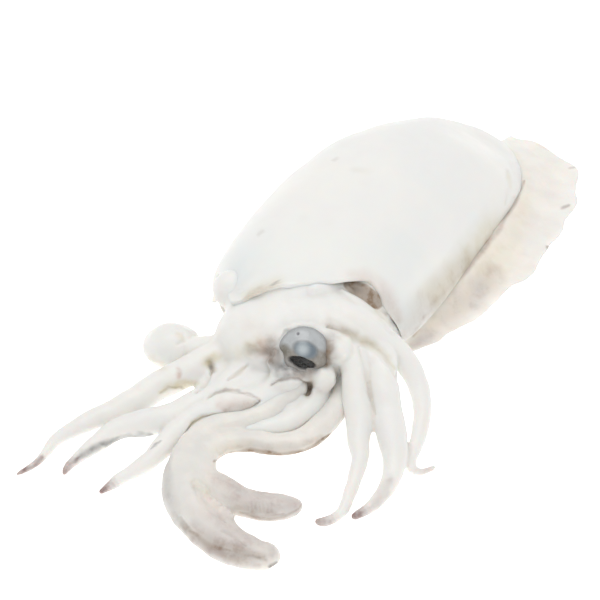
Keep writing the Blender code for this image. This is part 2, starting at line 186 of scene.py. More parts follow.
# Each limb's centre line, from its root in the head to its tip: x, y, height, half width.
ARMS = {
    "left_outer": [
        (-2, -38, 13, 6.5), (-11.5, -61, 8, 6.8), (-18.2, -75, 5.5, 6.4), (-20.2, -85, 5, 6.3),
        (-24, -96, 4.5, 5.2), (-29.4, -109.2, 4, 4.1), (-32.3, -120.4, 3, 2.8), (-30.9, -132.4, 1.8, 1.7),
        (-33.4, -142.6, 1.4, 0.7),
    ],
    "left_middle": [
        (8, -38, 14, 6.5), (8, -60, 9, 6.0), (2.5, -71.5, 7, 5.3), (-1, -84.8, 6, 6.2), (-8.5, -93, 5, 6.0),
        (-15.5, -102, 4.2, 4.8), (-17.8, -112.2, 3.4, 3.8), (-19.5, -126, 2.1, 2.0),
        (-17.9, -131.4, 1.4, 0.8),
    ],
    "left_inner": [
        (28, -48, 11, 6.5), (23, -61, 9, 6.8), (15.5, -69, 8, 7.0), (7.5, -79.5, 6.5, 6.0),
        (5, -89, 5.5, 5.5), (5.5, -107, 4, 3.9), (1.8, -121, 2.6, 2.6), (-0.8, -130.2, 1.5, 0.9),
    ],
    "middle": [
        (35, -30, 13, 5.5), (40, -44.5, 8.5, 4.8), (40.5, -53.5, 7.5, 4.6), (38, -63, 7, 4.4),
        (31.5, -70.5, 6.5, 3.8), (23, -77, 5.5, 3.2),
    ],
    "right_inner": [
        (38, -20, 20, 6.5), (46, -26.5, 19, 5.8), (55, -37.5, 12, 5.6), (61.5, -44.3, 8, 5.5),
        (66.8, -52.4, 6, 4.6), (72.8, -61.2, 4.8, 3.4), (79.2, -79.5, 2.8, 2.4), (79.4, -86.4, 2.2, 2.1),
        (76.6, -91.0, 1.7, 2.1), (73.2, -92.3, 1.5, 1.1),
    ],
    "right_middle": [
        (40, -6, 19, 8.0), (54.5, -18.5, 16, 7.0), (62.6, -28, 13, 6.1), (69, -35.2, 9, 6.2),
        (76.2, -43.2, 7, 6.2), (82.7, -51, 5, 5.0), (87, -61, 3.8, 3.6), (87.6, -74, 2.4, 2.6),
        (84.0, -83.4, 1.5, 1.3),
    ],
    "right_outer": [
        (10, -18, 26, 8.0), (30, -13.5, 27, 7.2), (43.5, -11, 23, 6.6), (56.5, -8.5, 15, 5.7),
        (64.5, -10, 10, 5.0), (72, -15, 6.4, 4.4), (79, -24.5, 4.8, 3.8), (83.7, -35, 3.6, 3.2),
        (87.6, -47.2, 2, 2.4), (92.7, -48.9, 1.6, 1.6), (96.6, -42.2, 1.4, 1.0),
    ],
}
TENTACLES = {
    "outer_tentacle": [
        (32, -42, 13, 6.0), (30.5, -53, 10, 6.0), (29, -62, 8.5, 6.0), (23.5, -71.5, 7.5, 5.4),
        (17, -80.5, 7, 6.2), (16.2, -89, 6.5, 7.0), (19.2, -98.1, 6.5, 8.2), (25.0, -107.6, 6.5, 9.2),
        (32.6, -114.8, 6.5, 9.8), (42.6, -118.6, 6, 9.4), (54.9, -121.9, 5.6, 8.0), (65.5, -119.9, 4.8, 6.4),
        (71.8, -116.4, 4, 4.9), (74.9, -115.1, 3, 2.8),
    ],
    "inner_tentacle": [
        (44, -24, 11, 5.0), (49, -40, 7, 5.0), (49.9, -54.5, 5.5, 5.5), (47.9, -64.9, 5.5, 5.2),
        (41.6, -72.4, 5.5, 5.0), (31.8, -78.2, 6.5, 5.0), (24.6, -86.4, 7.4, 5.2), (23.4, -96.0, 7.7, 5.8),
        (30.1, -104.3, 7.2, 6.5), (38.8, -104.6, 6.4, 6.6), (48.3, -103.4, 5.4, 6.0), (57, -99.5, 4.8, 5.8),
        (63, -94, 4, 4.9), (65, -88.8, 2.8, 2.8),
    ],
}
ARM_HEIGHT_SHARE = 0.88
TENTACLE_HEIGHT_SHARE = 0.74

# The coiled arm runs out to the left of the head and curls round a low mound into a knob.
COIL_CENTRE = (-29.2, -54.8, 7.0)
COIL_RADIUS = 7.4
COIL_HALF_WIDTH = 6.2
COIL_TAPER = 0.35
COIL_START = 20.0
COIL_SWEEP = 275.0
COIL_POINTS = 9
COIL_STEM = [(0, -36, 12, 7.0), (-10, -46, 9, 6.6)]

# How uneven stains and painted shade are: their grain in millimetres, their drift in pixels and how much they
# fade.
FINE_UNEVENNESS = (3.0, 2.0, 0.45)
CLUB_UNEVENNESS = (6.0, 2.0, 0.35)
BROAD_UNEVENNESS = (16.0, 3.0, 0.3)
# Where the noises of the three parts of a drift start, fixed so that each run gives the same stains and
# painted shade.
DRIFT_STARTS = ((9.3, -1.5, -7.9), (-5.2, 8.1, 3.7), (2.6, -6.4, 11.8))
# The share of its radius that a long stroke keeps at its ends, the lengths in radii from which a stroke
# counts as long, and the share of its length that tapers.
STROKE_END = 0.4
STROKE_LONG = (2.0, 5.0)
STROKE_TAPER = 0.4
# How far skin may turn from the view before marks fade, as the cosine of the angle between them.
SEEN_SPAN = (-0.3, 0.1)

# Uneven flesh: size and height of the lumps in millimetres, and a seed.
MANTLE_LUMPS = ((22.0, 0.9, 3.0), (7.0, 0.18, 8.0))
FIN_LUMPS = (9.0, 0.5, 5.0)
HEAD_LUMPS = (6.0, 0.35, 11.0)
CLUB_LUMPS = (4.0, 0.3, 17.0)
SEED_SHARES = (1.0, 1.7, 0.3)
# Relaxing: rounds and strength all over, rounds and strength where limbs meet.
RELAX_ALL = (3, 0.5)
RELAX_MEET = (26, 0.5)
# Creases: rounds that relax the skin, and the depth in millimetres that gives the full shade.
MANTLE_CREASES = (10, 0.9)
HEAD_CREASES = (14, 0.9)
CLUB_CREASES = (12, 0.6)
# Painted shade in the mantle's hollow and low on its side, brown on the tissue seen in the hollow (partly its
# own colour, partly painted shade) and painted yellowish shade on the fin beside the mantle, and the spans
# over which each comes in.
HOLLOW_BROWN = 0.5
HOLLOW_DROOP_Z = (0.0, 12.0)
HOLLOW_INSIDE = (0.97, 0.9)
HOLLOW_BEHIND_RIM = (0.5, 8.0)
HOLLOW_BACK_Y = (70.0, 60.0)
SIDE_BROWN = 0.12
LOW_SIDE_X = (20.0, 36.0)
LOW_SIDE_Y = (165.0, 140.0)
LOW_SIDE_Z = (15.0, 3.0)
THROAT_BROWN = 0.88
THROAT_Z = (17.0, 19.0)
FIN_STRAW = 0.16
FIN_STRAW_SPAN = (1.9, 1.1)
# Limbs: waves of their width, by rates and sizes, and how uneven arms and tentacles are.
LIMB_WAVES = ((0.11, 0.29, 0.61), (0.5, 0.3, 0.2))
ARM_UNEVEN = 0.03
TENTACLE_UNEVEN = 0.035
TENTACLE_FINER = 2
# Where arms end: the share of their length from which they darken, and how pale the outer right one stays.
ARM_TIP = (0.88, 0.98)
ARM_TIP_STRENGTH = 0.9
PALE_TIP_LOSS = 0.7
PALE_TIP_RADIUS = 16.0
COIL_PALE_RADIUS = 30.0
ARM_ROOT = (0.34, 0.1)
# How near another limb a tentacle is softened, and how far from a limb skin still counts as part of it, in
# half widths of the limb.
CLUBS_MEET = (1.7, 1.15)
LIMB_REACH = 1.6

MANTLE_GRID = (210, 240)
FIN_GRID = (96, 420)
LIMB_AROUND = 40
LIMB_RING_STEP = 0.9
ROUTE_STEPS = 16
ROUTE_STEP = 0.8
WELD = 0.00002
FAR = 1e9

# Noise groups: the share that each noise's scale has of the group's, its detail and its roughness, and the
# span of values that is spread out from 0 to 1.
BLOTCHES = (1.0, 3.0, 0.55, 0.35, 0.68)
PATCHES = (4.0, 4.0, 0.6, 0.42, 0.7)
PUCKER_SPAN = (0.35, 0.7)
PUCKER_DISTORTION = 0.6
GRAIN_SCALE = 5.0
GRAIN_HEIGHT = 0.3
WET_ROUGHNESS = (0.2, 0.4)

# Each flesh: scales of its mottling and its skin, and strengths of patches, painted shade in creases, bump,
# light under the skin and wet coat.
LOOK_PARTS = ("mottle", "skin", "patch", "crease", "bump", "under", "coat")
LOOKS = {
    "mantle": (22.0, 160.0, 0.06, 0.5, 0.14, 0.35, 0.04),
    "fin": (26.0, 240.0, 0.18, 0.55, 0.3, 0.5, 0.05),
    "head": (46.0, 330.0, 0.4, 0.6, 0.35, 0.35, 0.2),
    "tentacle": (60.0, 420.0, 0.5, 0.4, 0.5, 0.35, 0.3),
}
# Masks over the flesh's colour: its own stains and tints, and painted shade where marks lay these colours in
# creases, gaps and holes.
STAINS_AND_SHADES = ("straw", "blush", "grey", "brown", "tip", "dark")
STAIN_AND_SHADE_UNEVENNESS = (0.5, 0.75)
LIGHT_REACH = (1.0, 0.62, 0.45)
FLESH_COAT_ROUGHNESS = 0.18
FLESH_RELIEF = 0.00035
FLESH_SPECULAR = 0.4
WET_IOR = 1.38

# The eye's colours, each laid over the ones before it where its mask says: skin, pale specks, then marks.
EYE_GROUND = ((0.26, 0.24, 0.21), (0.38, 0.35, 0.31))
EYE_SKIN = {"low": (0.40, 0.38, 0.36), "lid": (0.49, 0.51, 0.52), "olive": (0.20, 0.185, 0.15)}
EYE_SPECKS = (0.3, (0.36, 0.36, 0.35))
EYE_MARKS = {
    "lens": (0.17, 0.21, 0.245),
    # Painted highlight on the lens.
    "glint": (0.48, 0.53, 0.55),
    # Painted shade along the ball's upper rim, where it meets the socket.
    "rim": (0.20, 0.20, 0.20),
    "speck": (0.06, 0.05, 0.07),
    "pupil": (0.004, 0.004, 0.004),
}
EYE_MOTTLE = 120.0
EYE_SKIN_SCALE = 500.0
EYE_GLOSS = 0.5
EYE_BUMP = 0.25
EYE_RELIEF = 0.0003
EYE_COAT = 0.5
EYE_COAT_ROUGHNESS = 0.12
# The eye's oval parts: their middle to the right of and above the ball's, their half widths, and the share
# of these over which they fade.
LENS_OVAL = ((0.4, 1.0), (5.2, 3.6), (1.2, 0.6))
PUPIL_OVAL = ((0.9, -4.6), (6.0, 2.5), (1.1, 0.9))
PUPIL_WAVE = (0.16, 1.1)
OLIVE_OVAL = ((-8.0, 1.0), (2.8, 2.4), (1.3, 0.4))
SPECK_OVAL = ((-2.3, 7.2), (1.0, 1.0), (0.9, 0.3))
GLINT_OVAL = ((-0.4, 1.2), (1.0, 1.0), (3.8, 0.4))
# Spans in millimetres over which the ball's front, its lid, its low wrinkles and the painted shade along its
# upper rim come in.
EYE_FRONT = (0.0, 2.5)
LID_SPAN = (1.2, 3.4)
LID_ARCH = 0.25
LOW_SPAN = (-3.0, -6.5)
RIM_OUT = (8.6, 10.0)
RIM_UP = (-2.0, 2.0)
PUCKER_RATES = (0.45, 0.6)
PUCKER_SEED = 2.0
OLIVE_PUCKERS = 0.4
RIM_STRENGTH = 0.5
SPECK_STRENGTH = 0.7
# How far lens, pupil, lid and speck rise from the ball, in millimetres.
LENS_RISE = 1.0
PUPIL_RISE = -1.2
LID_RISE = 0.25
SPECK_RISE = -0.2

FLOOR_SIZE = 24.0
FLOOR_SHADES = ((0.93, 0.93, 0.93), (0.95, 0.95, 0.95))
FLOOR_CLOUDS = 8.0
WHITE = (1.0, 1.0, 1.0, 1.0)
# Lights: place and width in metres. They point at a place a little above the floor.
LIGHTS = {"key": ((-0.2, 0.15, 0.85), 0.7), "fill": ((0.5, -0.6, 0.5), 0.6)}
LIT_PLACE = (0.0, 0.0, 0.02)


# Numbers and shapes of the design


def smoothstep(low, high, value):
    share = np.clip((np.asarray(value, float) - low) / (high - low), 0.0, 1.0)
    return share * share * (3.0 - 2.0 * share)


def mantle_share(y, front_loss, powers):
    """The share of its full size that the mantle has at a station y, before and behind its widest one."""
    front = 1.0 - front_loss * ((MANTLE_WIDEST_Y - y) / MANTLE_FRONT_SPAN) ** 2
    back = np.clip((y - MANTLE_WIDEST_Y) / (MANTLE_TAIL_Y - MANTLE_WIDEST_Y), 0.0, 1.0)
    return np.where(y < MANTLE_WIDEST_Y, front, (1.0 - back ** powers[0]) ** powers[1])


def mantle_half_width(y):
    return MANTLE_HALF_WIDTH * mantle_share(y, MANTLE_FRONT_NARROWING, MANTLE_TAIL_WIDTH_POWERS)


def mantle_height(y):
    return MANTLE_HEIGHT * mantle_share(y, MANTLE_FRONT_LOWERING, MANTLE_TAIL_HEIGHT_POWERS)


def mantle_middle(y):
    """The bag is bowed a little: its middle line leaves the axis to the right, then to the left."""
    bow = MANTLE_BOW_FRONT + (MANTLE_BOW_BACK - MANTLE_BOW_FRONT) * smoothstep(*MANTLE_BOW_SPAN, y)
    return bow - MANTLE_BOW_BACK * smoothstep(MANTLE_BOW_SPAN[1], MANTLE_TAIL_Y, y)


def droop(x, y):
    """How far the mantle's left front corner hangs below its round section."""
    return FRONT_DROOP * smoothstep(*FRONT_DROOP_Y, y) * smoothstep(*FRONT_DROOP_X, x)


def signed_power(value, power):
    return np.sign(value) * np.abs(value) ** power


def mantle_section(y, angle, inset):
    """Points of the mantle's cross sections at stations y, moved in by the inset."""
    half_width = np.maximum(0.5, mantle_half_width(y) - inset)
    height = np.maximum(1.0, mantle_height(y) - inset)
    side = MANTLE_SIDE_LEVEL * mantle_height(y)
    across = np.cos(angle)
    up = np.sin(angle)
    rise = np.where(up > 0.0, height - side, side - inset / 2)
    x = mantle_middle(y) + half_width * signed_power(across, MANTLE_SQUARENESS)
    return x, side + rise * signed_power(up, MANTLE_SQUARENESS)


def rim_y(x):
    waves = sum(height * np.sin(x * rate + phase) for height, rate, phase in RIM_WAVES)
    return waves + np.mean([np.interp(x + shift, RIM_X, RIM_Y) for shift in RIM_ROUNDING], axis=0)


def mantle_place(u, v):
    """Rolls a flat grid into the bag: v runs from the tail to the rim, over the lip and into the hollow."""
    angle = 2.0 * np.pi * u
    front = rim_y(mantle_section(np.zeros_like(u), angle, 0.0)[0])
    share = np.sin(0.5 * np.pi * np.clip(1.0 - v / MANTLE_OUTSIDE, 0.0, 1.0))
    turn = np.pi * np.clip((v - MANTLE_OUTSIDE) / (MANTLE_LIP - MANTLE_OUTSIDE), 0.0, 1.0)
    inside = np.clip((v - MANTLE_LIP) / (1.0 - MANTLE_LIP), 0.0, 1.0)
    inset = WALL / 2 * (1.0 - np.cos(turn))
    y = front + (MANTLE_TAIL_Y - front) * share - WALL * 0.5 * np.sin(turn)
    y = y + HOLLOW_DEPTH * np.sin(0.5 * np.pi * inside)
    x, z = mantle_section(y, angle, inset)
    closing = np.clip((inside - HOLLOW_CLOSING) / (1.0 - HOLLOW_CLOSING), 0.0, 1.0)
    shrink = np.where(v > GRID_END, 0.0, np.sqrt(1.0 - closing**2))
    middle = mantle_middle(y)
    level = MANTLE_HEIGHT * HOLLOW_LEVEL
    x = middle + (x - middle) * shrink
    z = level + (z - level) * shrink
    low = smoothstep(*SIDE_SPREAD_X, x) * smoothstep(*SIDE_SPREAD_Y, y) * smoothstep(*SIDE_SPREAD_Z, z)
    x = x + SIDE_SPREAD * low
    dip = np.hypot(x - TAIL_DIP_PLACE[0], y - TAIL_DIP_PLACE[1]) / TAIL_DIP_RADIUS
    z = z * (1.0 - TAIL_DIP * (1.0 - np.clip(dip, 0.0, 1.0) ** 2) ** 2)
    return np.stack([x, y, z - droop(x, y) * smoothstep(*FRONT_DROOP_Z, z)], axis=1)


def fin_place(side):
    """Gives the function that rolls a flat grid into a fin, thick at its root and thin at its edge."""

    def place(u, v):
        out = 1.0 - np.abs(2.0 * u - 1.0)
        top = np.where(u < 0.5, 1.0, -1.0)
        length = MANTLE_TAIL_Y - FIN_STEP - FIN_FRONT_Y[side]
        y = FIN_FRONT_Y[side] + length * np.sin(0.5 * np.pi * v)
        root, ahead = (mantle_middle(at) + side * mantle_half_width(at) for at in (y, y + FIN_STEP))
        lean = (root - ahead) * side
        size = np.hypot(FIN_STEP, lean)
        frill = np.sin(2.0 * np.pi * FIN_FRILLS * v + side)
        grow = 1.0 - (1.0 - FIN_FRONT_SHARE[side]) * np.maximum(0.0, 1.0 - v / FIN_FULL_FROM) ** 2
        shrink = 1.0 - (1.0 - FIN_TAIL_SHARE[side]) * smoothstep(FIN_NARROWS_FROM, 1.0, v)
        corner = FIN_CORNER[side] * np.exp(-(((y - FIN_CORNER_Y) / FIN_CORNER_SPAN) ** 2))
        ragged = ripple(y, side * FIN_RAG_PHASE, *FIN_RAGS)
        reach = FIN_WIDTH[side] * grow * shrink + FIN_FRILL_DEPTH * frill + ragged + corner
        distance = (reach + FIN_ROOT_INSET) * out - FIN_ROOT_INSET
        root_level = MANTLE_SIDE_LEVEL * mantle_height(y) * FIN_ROOT_LEVEL
        edge_level = FIN_THICKNESS / 2
        level = root_level + (edge_level - root_level) * smoothstep(*FIN_COMES_DOWN, out)
        level = level + np.maximum(0.0, FIN_FRILL_LIFT * frill * (out - FIN_LIFTS_FROM))
        level = level + FIN_SWELL * np.sin(np.pi * np.clip(out * FIN_SWELL_RATE, 0.0, 1.0))
        thickness = FIN_THICKNESS + (FIN_EDGE_THICKNESS - FIN_THICKNESS) * out
        for ends, power in ((out, FIN_SQUARE_ACROSS), (v, FIN_SQUARE_ALONG)):
            thickness = thickness * np.sqrt(np.clip(1.0 - np.abs(2.0 * ends - 1.0) ** power, 0.0, 1.0))
        x = root + side * (FIN_STEP / size) * distance
        return np.stack([x, y + (lean / size) * distance, level + top * 0.5 * thickness], axis=1)

    return place


def ripple(along, phase, rates, sizes):
    """A fixed uneven wave: a few sines whose lengths don't fit each other."""
    total = np.zeros_like(along)
    for i, (rate, size) in enumerate(zip(rates, sizes)):
        total += size * np.sin(rate * along + phase * (1.3 + 0.7 * i))
    return total


def smooth_route(points):
    """The smooth curve through a limb's own points at even steps: x, y, height and half width."""
    points = np.array(points, float)
    last = len(points) - 1
    t = np.arange(ROUTE_STEPS)[:, None] / ROUTE_STEPS
    runs = []
    for i in range(last):
        before, start, end, after = (points[k] for k in (max(i - 1, 0), i, i + 1, min(i + 2, last)))
        slope_in = (end - before) / 2
        slope_out = (after - start) / 2
        run = start * (2 * t**3 - 3 * t**2 + 1) + end * (3 * t**2 - 2 * t**3)
        runs.append(run + slope_in * (t**3 - 2 * t**2 + t) + slope_out * (t**3 - t**2))
    route = np.vstack(runs + [points[last:]])
    steps = np.linalg.norm(np.diff(route[:, :3], axis=0), axis=1)
    travelled = np.concatenate([[0.0], np.cumsum(steps)])
    even = np.linspace(0.0, travelled[-1], int(travelled[-1] / ROUTE_STEP) + 2)
    return even, np.stack([np.interp(even, travelled, route[:, k]) for k in range(4)], axis=1)


def coil_points():
    """The coiled arm's own points: out from the head, then round the knob."""
    points = list(COIL_STEM)
    for i in range(COIL_POINTS):
        share = i / (COIL_POINTS - 1)
        angle = math.radians(COIL_START + COIL_SWEEP * share)
        x = COIL_CENTRE[0] + COIL_RADIUS * math.cos(angle)
        y = COIL_CENTRE[1] + COIL_RADIUS * math.sin(angle)
        points.append((x, y, COIL_CENTRE[2], COIL_HALF_WIDTH * (1.0 - COIL_TAPER * share)))
    return points


def lid_points():
    """The fold over the upper eye, as a limb's points."""
    right, up, back = view_axes()
    points = []
    for angle in np.radians(np.linspace(*LID_ARC, LID_POINTS)):
        place = UPPER_EYE + LID_RING * (math.cos(angle) * right + math.sin(angle) * up) + LID_DEPTH * back
        share = LID_END_SHARE + (1.0 - LID_END_SHARE) * max(0.0, math.sin(angle))
        points.append((*place, LID_HALF_WIDTH * share))
    return points


def limb_place(points, height_share, uneven):
    """Gives the function that rolls a flat grid round a limb's route, and how many rings it takes."""
    even, route = smooth_route(points)
    ahead = np.gradient(route[:, :3], axis=0)
    ahead /= np.linalg.norm(ahead, axis=1)[:, None]
    sideways = np.cross(ahead, (0.0, 0.0, 1.0))
    sideways /= np.linalg.norm(sideways, axis=1)[:, None]
    upward = np.cross(sideways, ahead)
    phase = points[0][0] + points[0][1]

    def place(u, v):
        at = v * even[-1]
        centre, right, up = (
            np.stack([np.interp(at, even, values[:, k]) for k in range(3)], axis=1)
            for values in (route, sideways, upward)
        )
        radius = np.interp(at, even, route[:, 3])
        radius = radius * (1.0 + uneven * ripple(at, phase, *LIMB_WAVES))
        for end in (at, even[-1] - at):
            radius = radius * np.sqrt(np.clip(1.0 - (1.0 - np.clip(end / radius, 0.0, 1.0)) ** 2, 0.0, 1.0))
        angle = 2.0 * np.pi * u
        out = right * (np.cos(angle) * radius)[:, None]
        return centre + out + up * (np.sin(angle) * radius * height_share)[:, None]

    return place, int(even[-1] / LIMB_RING_STEP)


# Modelling helpers


def view_axes():
    """Right, up and back of the photograph's view."""
    turn, lift = math.radians(VIEW_TURN), math.radians(VIEW_LIFT)
    back = np.array([math.sin(turn) * math.cos(lift), -math.cos(turn) * math.cos(lift), math.sin(lift)])
    right = np.array([math.cos(turn), math.sin(turn), 0.0])
    return right, np.cross(back, right), back


def photo_place(points):
    """Where places of the design show in the photograph, in its pixels."""
    right, up, back = view_axes()
    away = points - np.array(VIEW_TARGET) - VIEW_DISTANCE * back
    scale = PHOTO_SIZE * VIEW_LENS / VIEW_SENSOR / -(away @ back)
    return PHOTO_SIZE / 2 + np.stack([away @ right, -(away @ up)], axis=1) * scale[:, None]


def in_metres(points):
    return (points + SHIFT) * MM


def read_rows(items, what, width=3, kind=float):
    """One property of a mesh's points, edges, normals or triangles, as rows of numbers."""
    flat = np.empty(len(items) * width, kind)
    items.foreach_get(what, flat)
    return flat.reshape(-1, width)


def read_points(mesh):
    """A mesh's points in the design's millimetres."""
    return read_rows(mesh.vertices, "co") / MM - SHIFT


def write_points(mesh, points):
    mesh.vertices.foreach_set("co", in_metres(points).ravel())
    mesh.update()


def read_normals(mesh):
    return read_rows(mesh.vertex_normals, "vector")


def read_edges(mesh):
    return read_rows(mesh.edges, "vertices", 2, np.int32)


def close_up(piece):
    """Merges the seam and the poles of a rolled grid and turns its faces outwards."""
    bpy.ops.object.select_all(action="DESELECT")
    piece.select_set(True)
    bpy.context.view_layer.objects.active = piece
    bpy.ops.object.mode_set(mode="EDIT")
    bpy.ops.mesh.select_all(action="SELECT")
    bpy.ops.mesh.remove_doubles(threshold=WELD)
    bpy.ops.mesh.dissolve_degenerate(threshold=WELD / 2)
    bpy.ops.mesh.select_all(action="SELECT")
    bpy.ops.mesh.normals_make_consistent(inside=False)
    bpy.ops.object.mode_set(mode="OBJECT")
    if volume_inside(piece.data) < 0.0:
        bpy.ops.object.mode_set(mode="EDIT")
        bpy.ops.mesh.flip_normals()
        bpy.ops.object.mode_set(mode="OBJECT")
    bpy.ops.object.shade_smooth()


def volume_inside(mesh):
    """The closed mesh's volume, below zero where its faces point inwards."""
    mesh.calc_loop_triangles()
    corners = read_rows(mesh.loop_triangles, "vertices", kind=np.int32)
    first, second, third = (read_points(mesh)[corners[:, k]] for k in range(3))
    return float(np.einsum("ij,ij->", first, np.cross(second, third))) / 6.0


def rolled_grid(name, across, along, place):
    """A grid primitive, moved point by point to where the design puts it and closed up."""
    bpy.ops.object.select_all(action="DESELECT")
    bpy.ops.mesh.primitive_grid_add(x_subdivisions=across, y_subdivisions=along, size=2.0)
    piece = bpy.context.object
    piece.name = name
    piece.data.name = name
    flat = read_rows(piece.data.vertices, "co")
    write_points(piece.data, place((flat[:, 0] + 1.0) / 2, (flat[:, 1] + 1.0) / 2))
    close_up(piece)
    return piece


def dome(name, centre, radii, turn):
    """A sphere primitive, drawn out to its radii and turned about the vertical."""
    bpy.ops.object.select_all(action="DESELECT")
    bpy.ops.mesh.primitive_uv_sphere_add(segments=72, ring_count=36, radius=1.0)
    piece = bpy.context.object
    piece.name = name
    piece.scale = [radius * MM for radius in radii]
    piece.rotation_euler = (0.0, 0.0, math.radians(turn))
    piece.location = in_metres(np.array(centre))
    bpy.ops.object.transform_apply(location=True, rotation=True, scale=True)
    return piece


def limb(name, points, height_share, uneven=ARM_UNEVEN, finer=1):
    place, along = limb_place(points, height_share, uneven)
    return rolled_grid(name, LIMB_AROUND * finer, along * finer, place)


def joined(name, parts):
    bpy.ops.object.select_all(action="DESELECT")
    for part in parts:
        part.select_set(True)
    bpy.context.view_layer.objects.active = parts[0]
    bpy.ops.object.join()
    parts[0].name = name
    parts[0].data.name = name
    return parts[0]


def remeshed(piece, voxel):
    """Joins what overlaps into one skin."""
    remesh = piece.modifiers.new("one_skin", "REMESH")
    remesh.mode = "VOXEL"
    remesh.voxel_size = voxel * MM
    remesh.use_smooth_shade = True
    bpy.context.view_layer.objects.active = piece
    bpy.ops.object.modifier_apply(modifier=remesh.name)


def relaxed(points, edges, rounds, strength):
    """Points drawn towards the middle of their neighbours, by a strength for each point."""
    count = len(points)
    ends = np.concatenate([edges[:, 0], edges[:, 1]])
    others = np.concatenate([edges[:, 1], edges[:, 0]])
    neighbours = np.maximum(1, np.bincount(ends, minlength=count))[:, None]
    strength = np.broadcast_to(strength, count)[:, None]
    for _ in range(rounds):
        total = np.stack([np.bincount(ends, points[others, k], count) for k in range(3)], axis=1)
        points = points + strength * (total / neighbours - points)
    return points


def line_distance(points, line):
    """How far each point is from a line through a few places."""
    nearest = np.full(len(points), FAR)
    line = np.array(line, float)
    if len(line) == 1:
        return np.linalg.norm(points - line[0], axis=1)
    for start, end in zip(line, line[1:]):
        along = end - start
        share = np.clip((points - start) @ along / (along @ along), 0.0, 1.0)
        gap = np.linalg.norm(points - start - share[:, None] * along, axis=1)
        nearest = np.minimum(nearest, gap)
    return nearest


def falloff(points, line, radius):
    """1 on the line, 0 at the radius, smooth between; a long line tapers towards its ends."""
    ends = np.array([line[0], line[-1]], float)
    length = np.linalg.norm(ends[1] - ends[0])
    from_end = np.minimum(*(np.linalg.norm(points - end, axis=1) for end in ends))
    taper = (1.0 - STROKE_END) * smoothstep(*STROKE_LONG, length / radius)
    width = radius * (1.0 - taper * smoothstep(STROKE_TAPER * length, 0.0, from_end))
    return (1.0 - np.clip(line_distance(points, line) / width, 0.0, 1.0) ** 2) ** 2


def seen(piece):
    """1 where the skin faces the photograph's view, 0 where it turns away."""
    return smoothstep(*SEEN_SPAN, read_normals(piece.data) @ view_axes()[2])


def carve_seen(piece, strokes):
    """Grooves and ridges that follow lines of the photograph: height in mm, radius in its pixels, line."""
    for height, radius, line in strokes.values():
        points = read_points(piece.data)
        shift = height * falloff(photo_place(points), line, radius) * seen(piece)
        write_points(piece.data, points + read_normals(piece.data) * shift[:, None])


def stain_and_shade_seen(piece, marks, uneven):
    """Uneven stains and painted shade that follow lines of the photograph: mask, strength, radius in its
    pixels, line.
    """
    points = read_points(piece.data)
    grain, shift, fade = uneven
    starts = [Vector(start) for start in DRIFT_STARTS]
    scaled = [Vector(point) / grain for point in points]
    drift = np.array([[noise.noise(place + start) for start in starts] for place in scaled])
    places = photo_place(points) + shift * drift[:, :2]
    facing = seen(piece) * (1.0 + fade * drift[:, 2])
    for name, strength, radius, line in marks.values():
        add_mask(piece, name, strength * falloff(places, line, radius) * facing)


def roughen(piece, size, height, seed):
    """Uneven flesh: moves each point along its normal by smooth noise of one size."""
    points = read_points(piece.data)
    normals = read_normals(piece.data)
    offset = Vector([seed * share for share in SEED_SHARES])
    level = np.array([noise.noise(Vector(point) / size + offset) for point in points])
    write_points(piece.data, points + normals * (height * level)[:, None])


def rest_on_floor(piece):
    points = read_points(piece.data)
    points[:, 2] = np.maximum(points[:, 2], FLOOR_CUT)
    write_points(piece.data, points)


def set_mask(mesh, name, values):
    layer = mesh.attributes.get(name) or mesh.attributes.new(name, "FLOAT", "POINT")
    layer.data.foreach_set("value", np.clip(values, 0.0, 1.0).astype(np.float32))


def dabbed(piece, marks):
    """Writes each mask, from dabs of strength, radius and line, as an attribute of the mesh: stains on the
    fins and painted shade in a hole of the head.
    """
    points = read_points(piece.data)
    for name, dabs in marks.items():
        total = np.zeros(len(points))
        for strength, radius, line in dabs:
            total = np.maximum(total, strength * falloff(points, line, radius))
        set_mask(piece.data, name, total)


def add_mask(piece, name, values):
    """Adds to a mask that is already there."""
    layer = piece.data.attributes.get(name)
    before = np.zeros(len(piece.data.vertices), np.float32)
    if layer:
        layer.data.foreach_get("value", before)
    set_mask(piece.data, name, np.maximum(before, values))


def mark_hollows(piece, rounds, depth):
    """A mask of painted shade in the creases, where the relaxed skin lies above the real one."""
    points = read_points(piece.data)
    gap = relaxed(points, read_edges(piece.data), rounds, 0.5) - points
    level = np.einsum("ij,ij->i", gap, read_normals(piece.data))
    set_mask(piece.data, "crease", level / depth)


def finish_piece(piece, material, node):
    piece.data.materials.clear()
    piece.data.materials.append(material)
    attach(piece, "root")
    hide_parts(node)


# Materials


def new_group(name, *outputs):
    """A node group with a vector and a scale for inputs and plain values for outputs."""
    group = bpy.data.node_groups.new(name, "ShaderNodeTree")
    group.interface.new_socket(name="Vector", in_out="INPUT", socket_type="NodeSocketVector")
    group.interface.new_socket(name="Scale", in_out="INPUT", socket_type="NodeSocketFloat")
    for label in outputs:
        group.interface.new_socket(name=label, in_out="OUTPUT", socket_type="NodeSocketFloat")
    return group, group.nodes.new("NodeGroupInput"), group.nodes.new("NodeGroupOutput")


def new_material(name, **values):
    """A material with its tree, its shader set to some values, and the place on the object."""
    material = bpy.data.materials.new(name)
    material.use_nodes = True
    tree = material.node_tree
    shader = tree.nodes["Principled BSDF"]
    for label, value in values.items():
        shader.inputs[label.replace("_", " ")].default_value = value
    return material, tree, shader, tree.nodes.new("ShaderNodeTexCoord").outputs["Object"]


def math_node(tree, operation, *values):
    node = tree.nodes.new("ShaderNodeMath")
    node.operation = operation
    for socket, value in zip(node.inputs, values):
        if isinstance(value, (int, float)):
            socket.default_value = value
        else:
            tree.links.new(value, socket)
    return node.outputs[0]


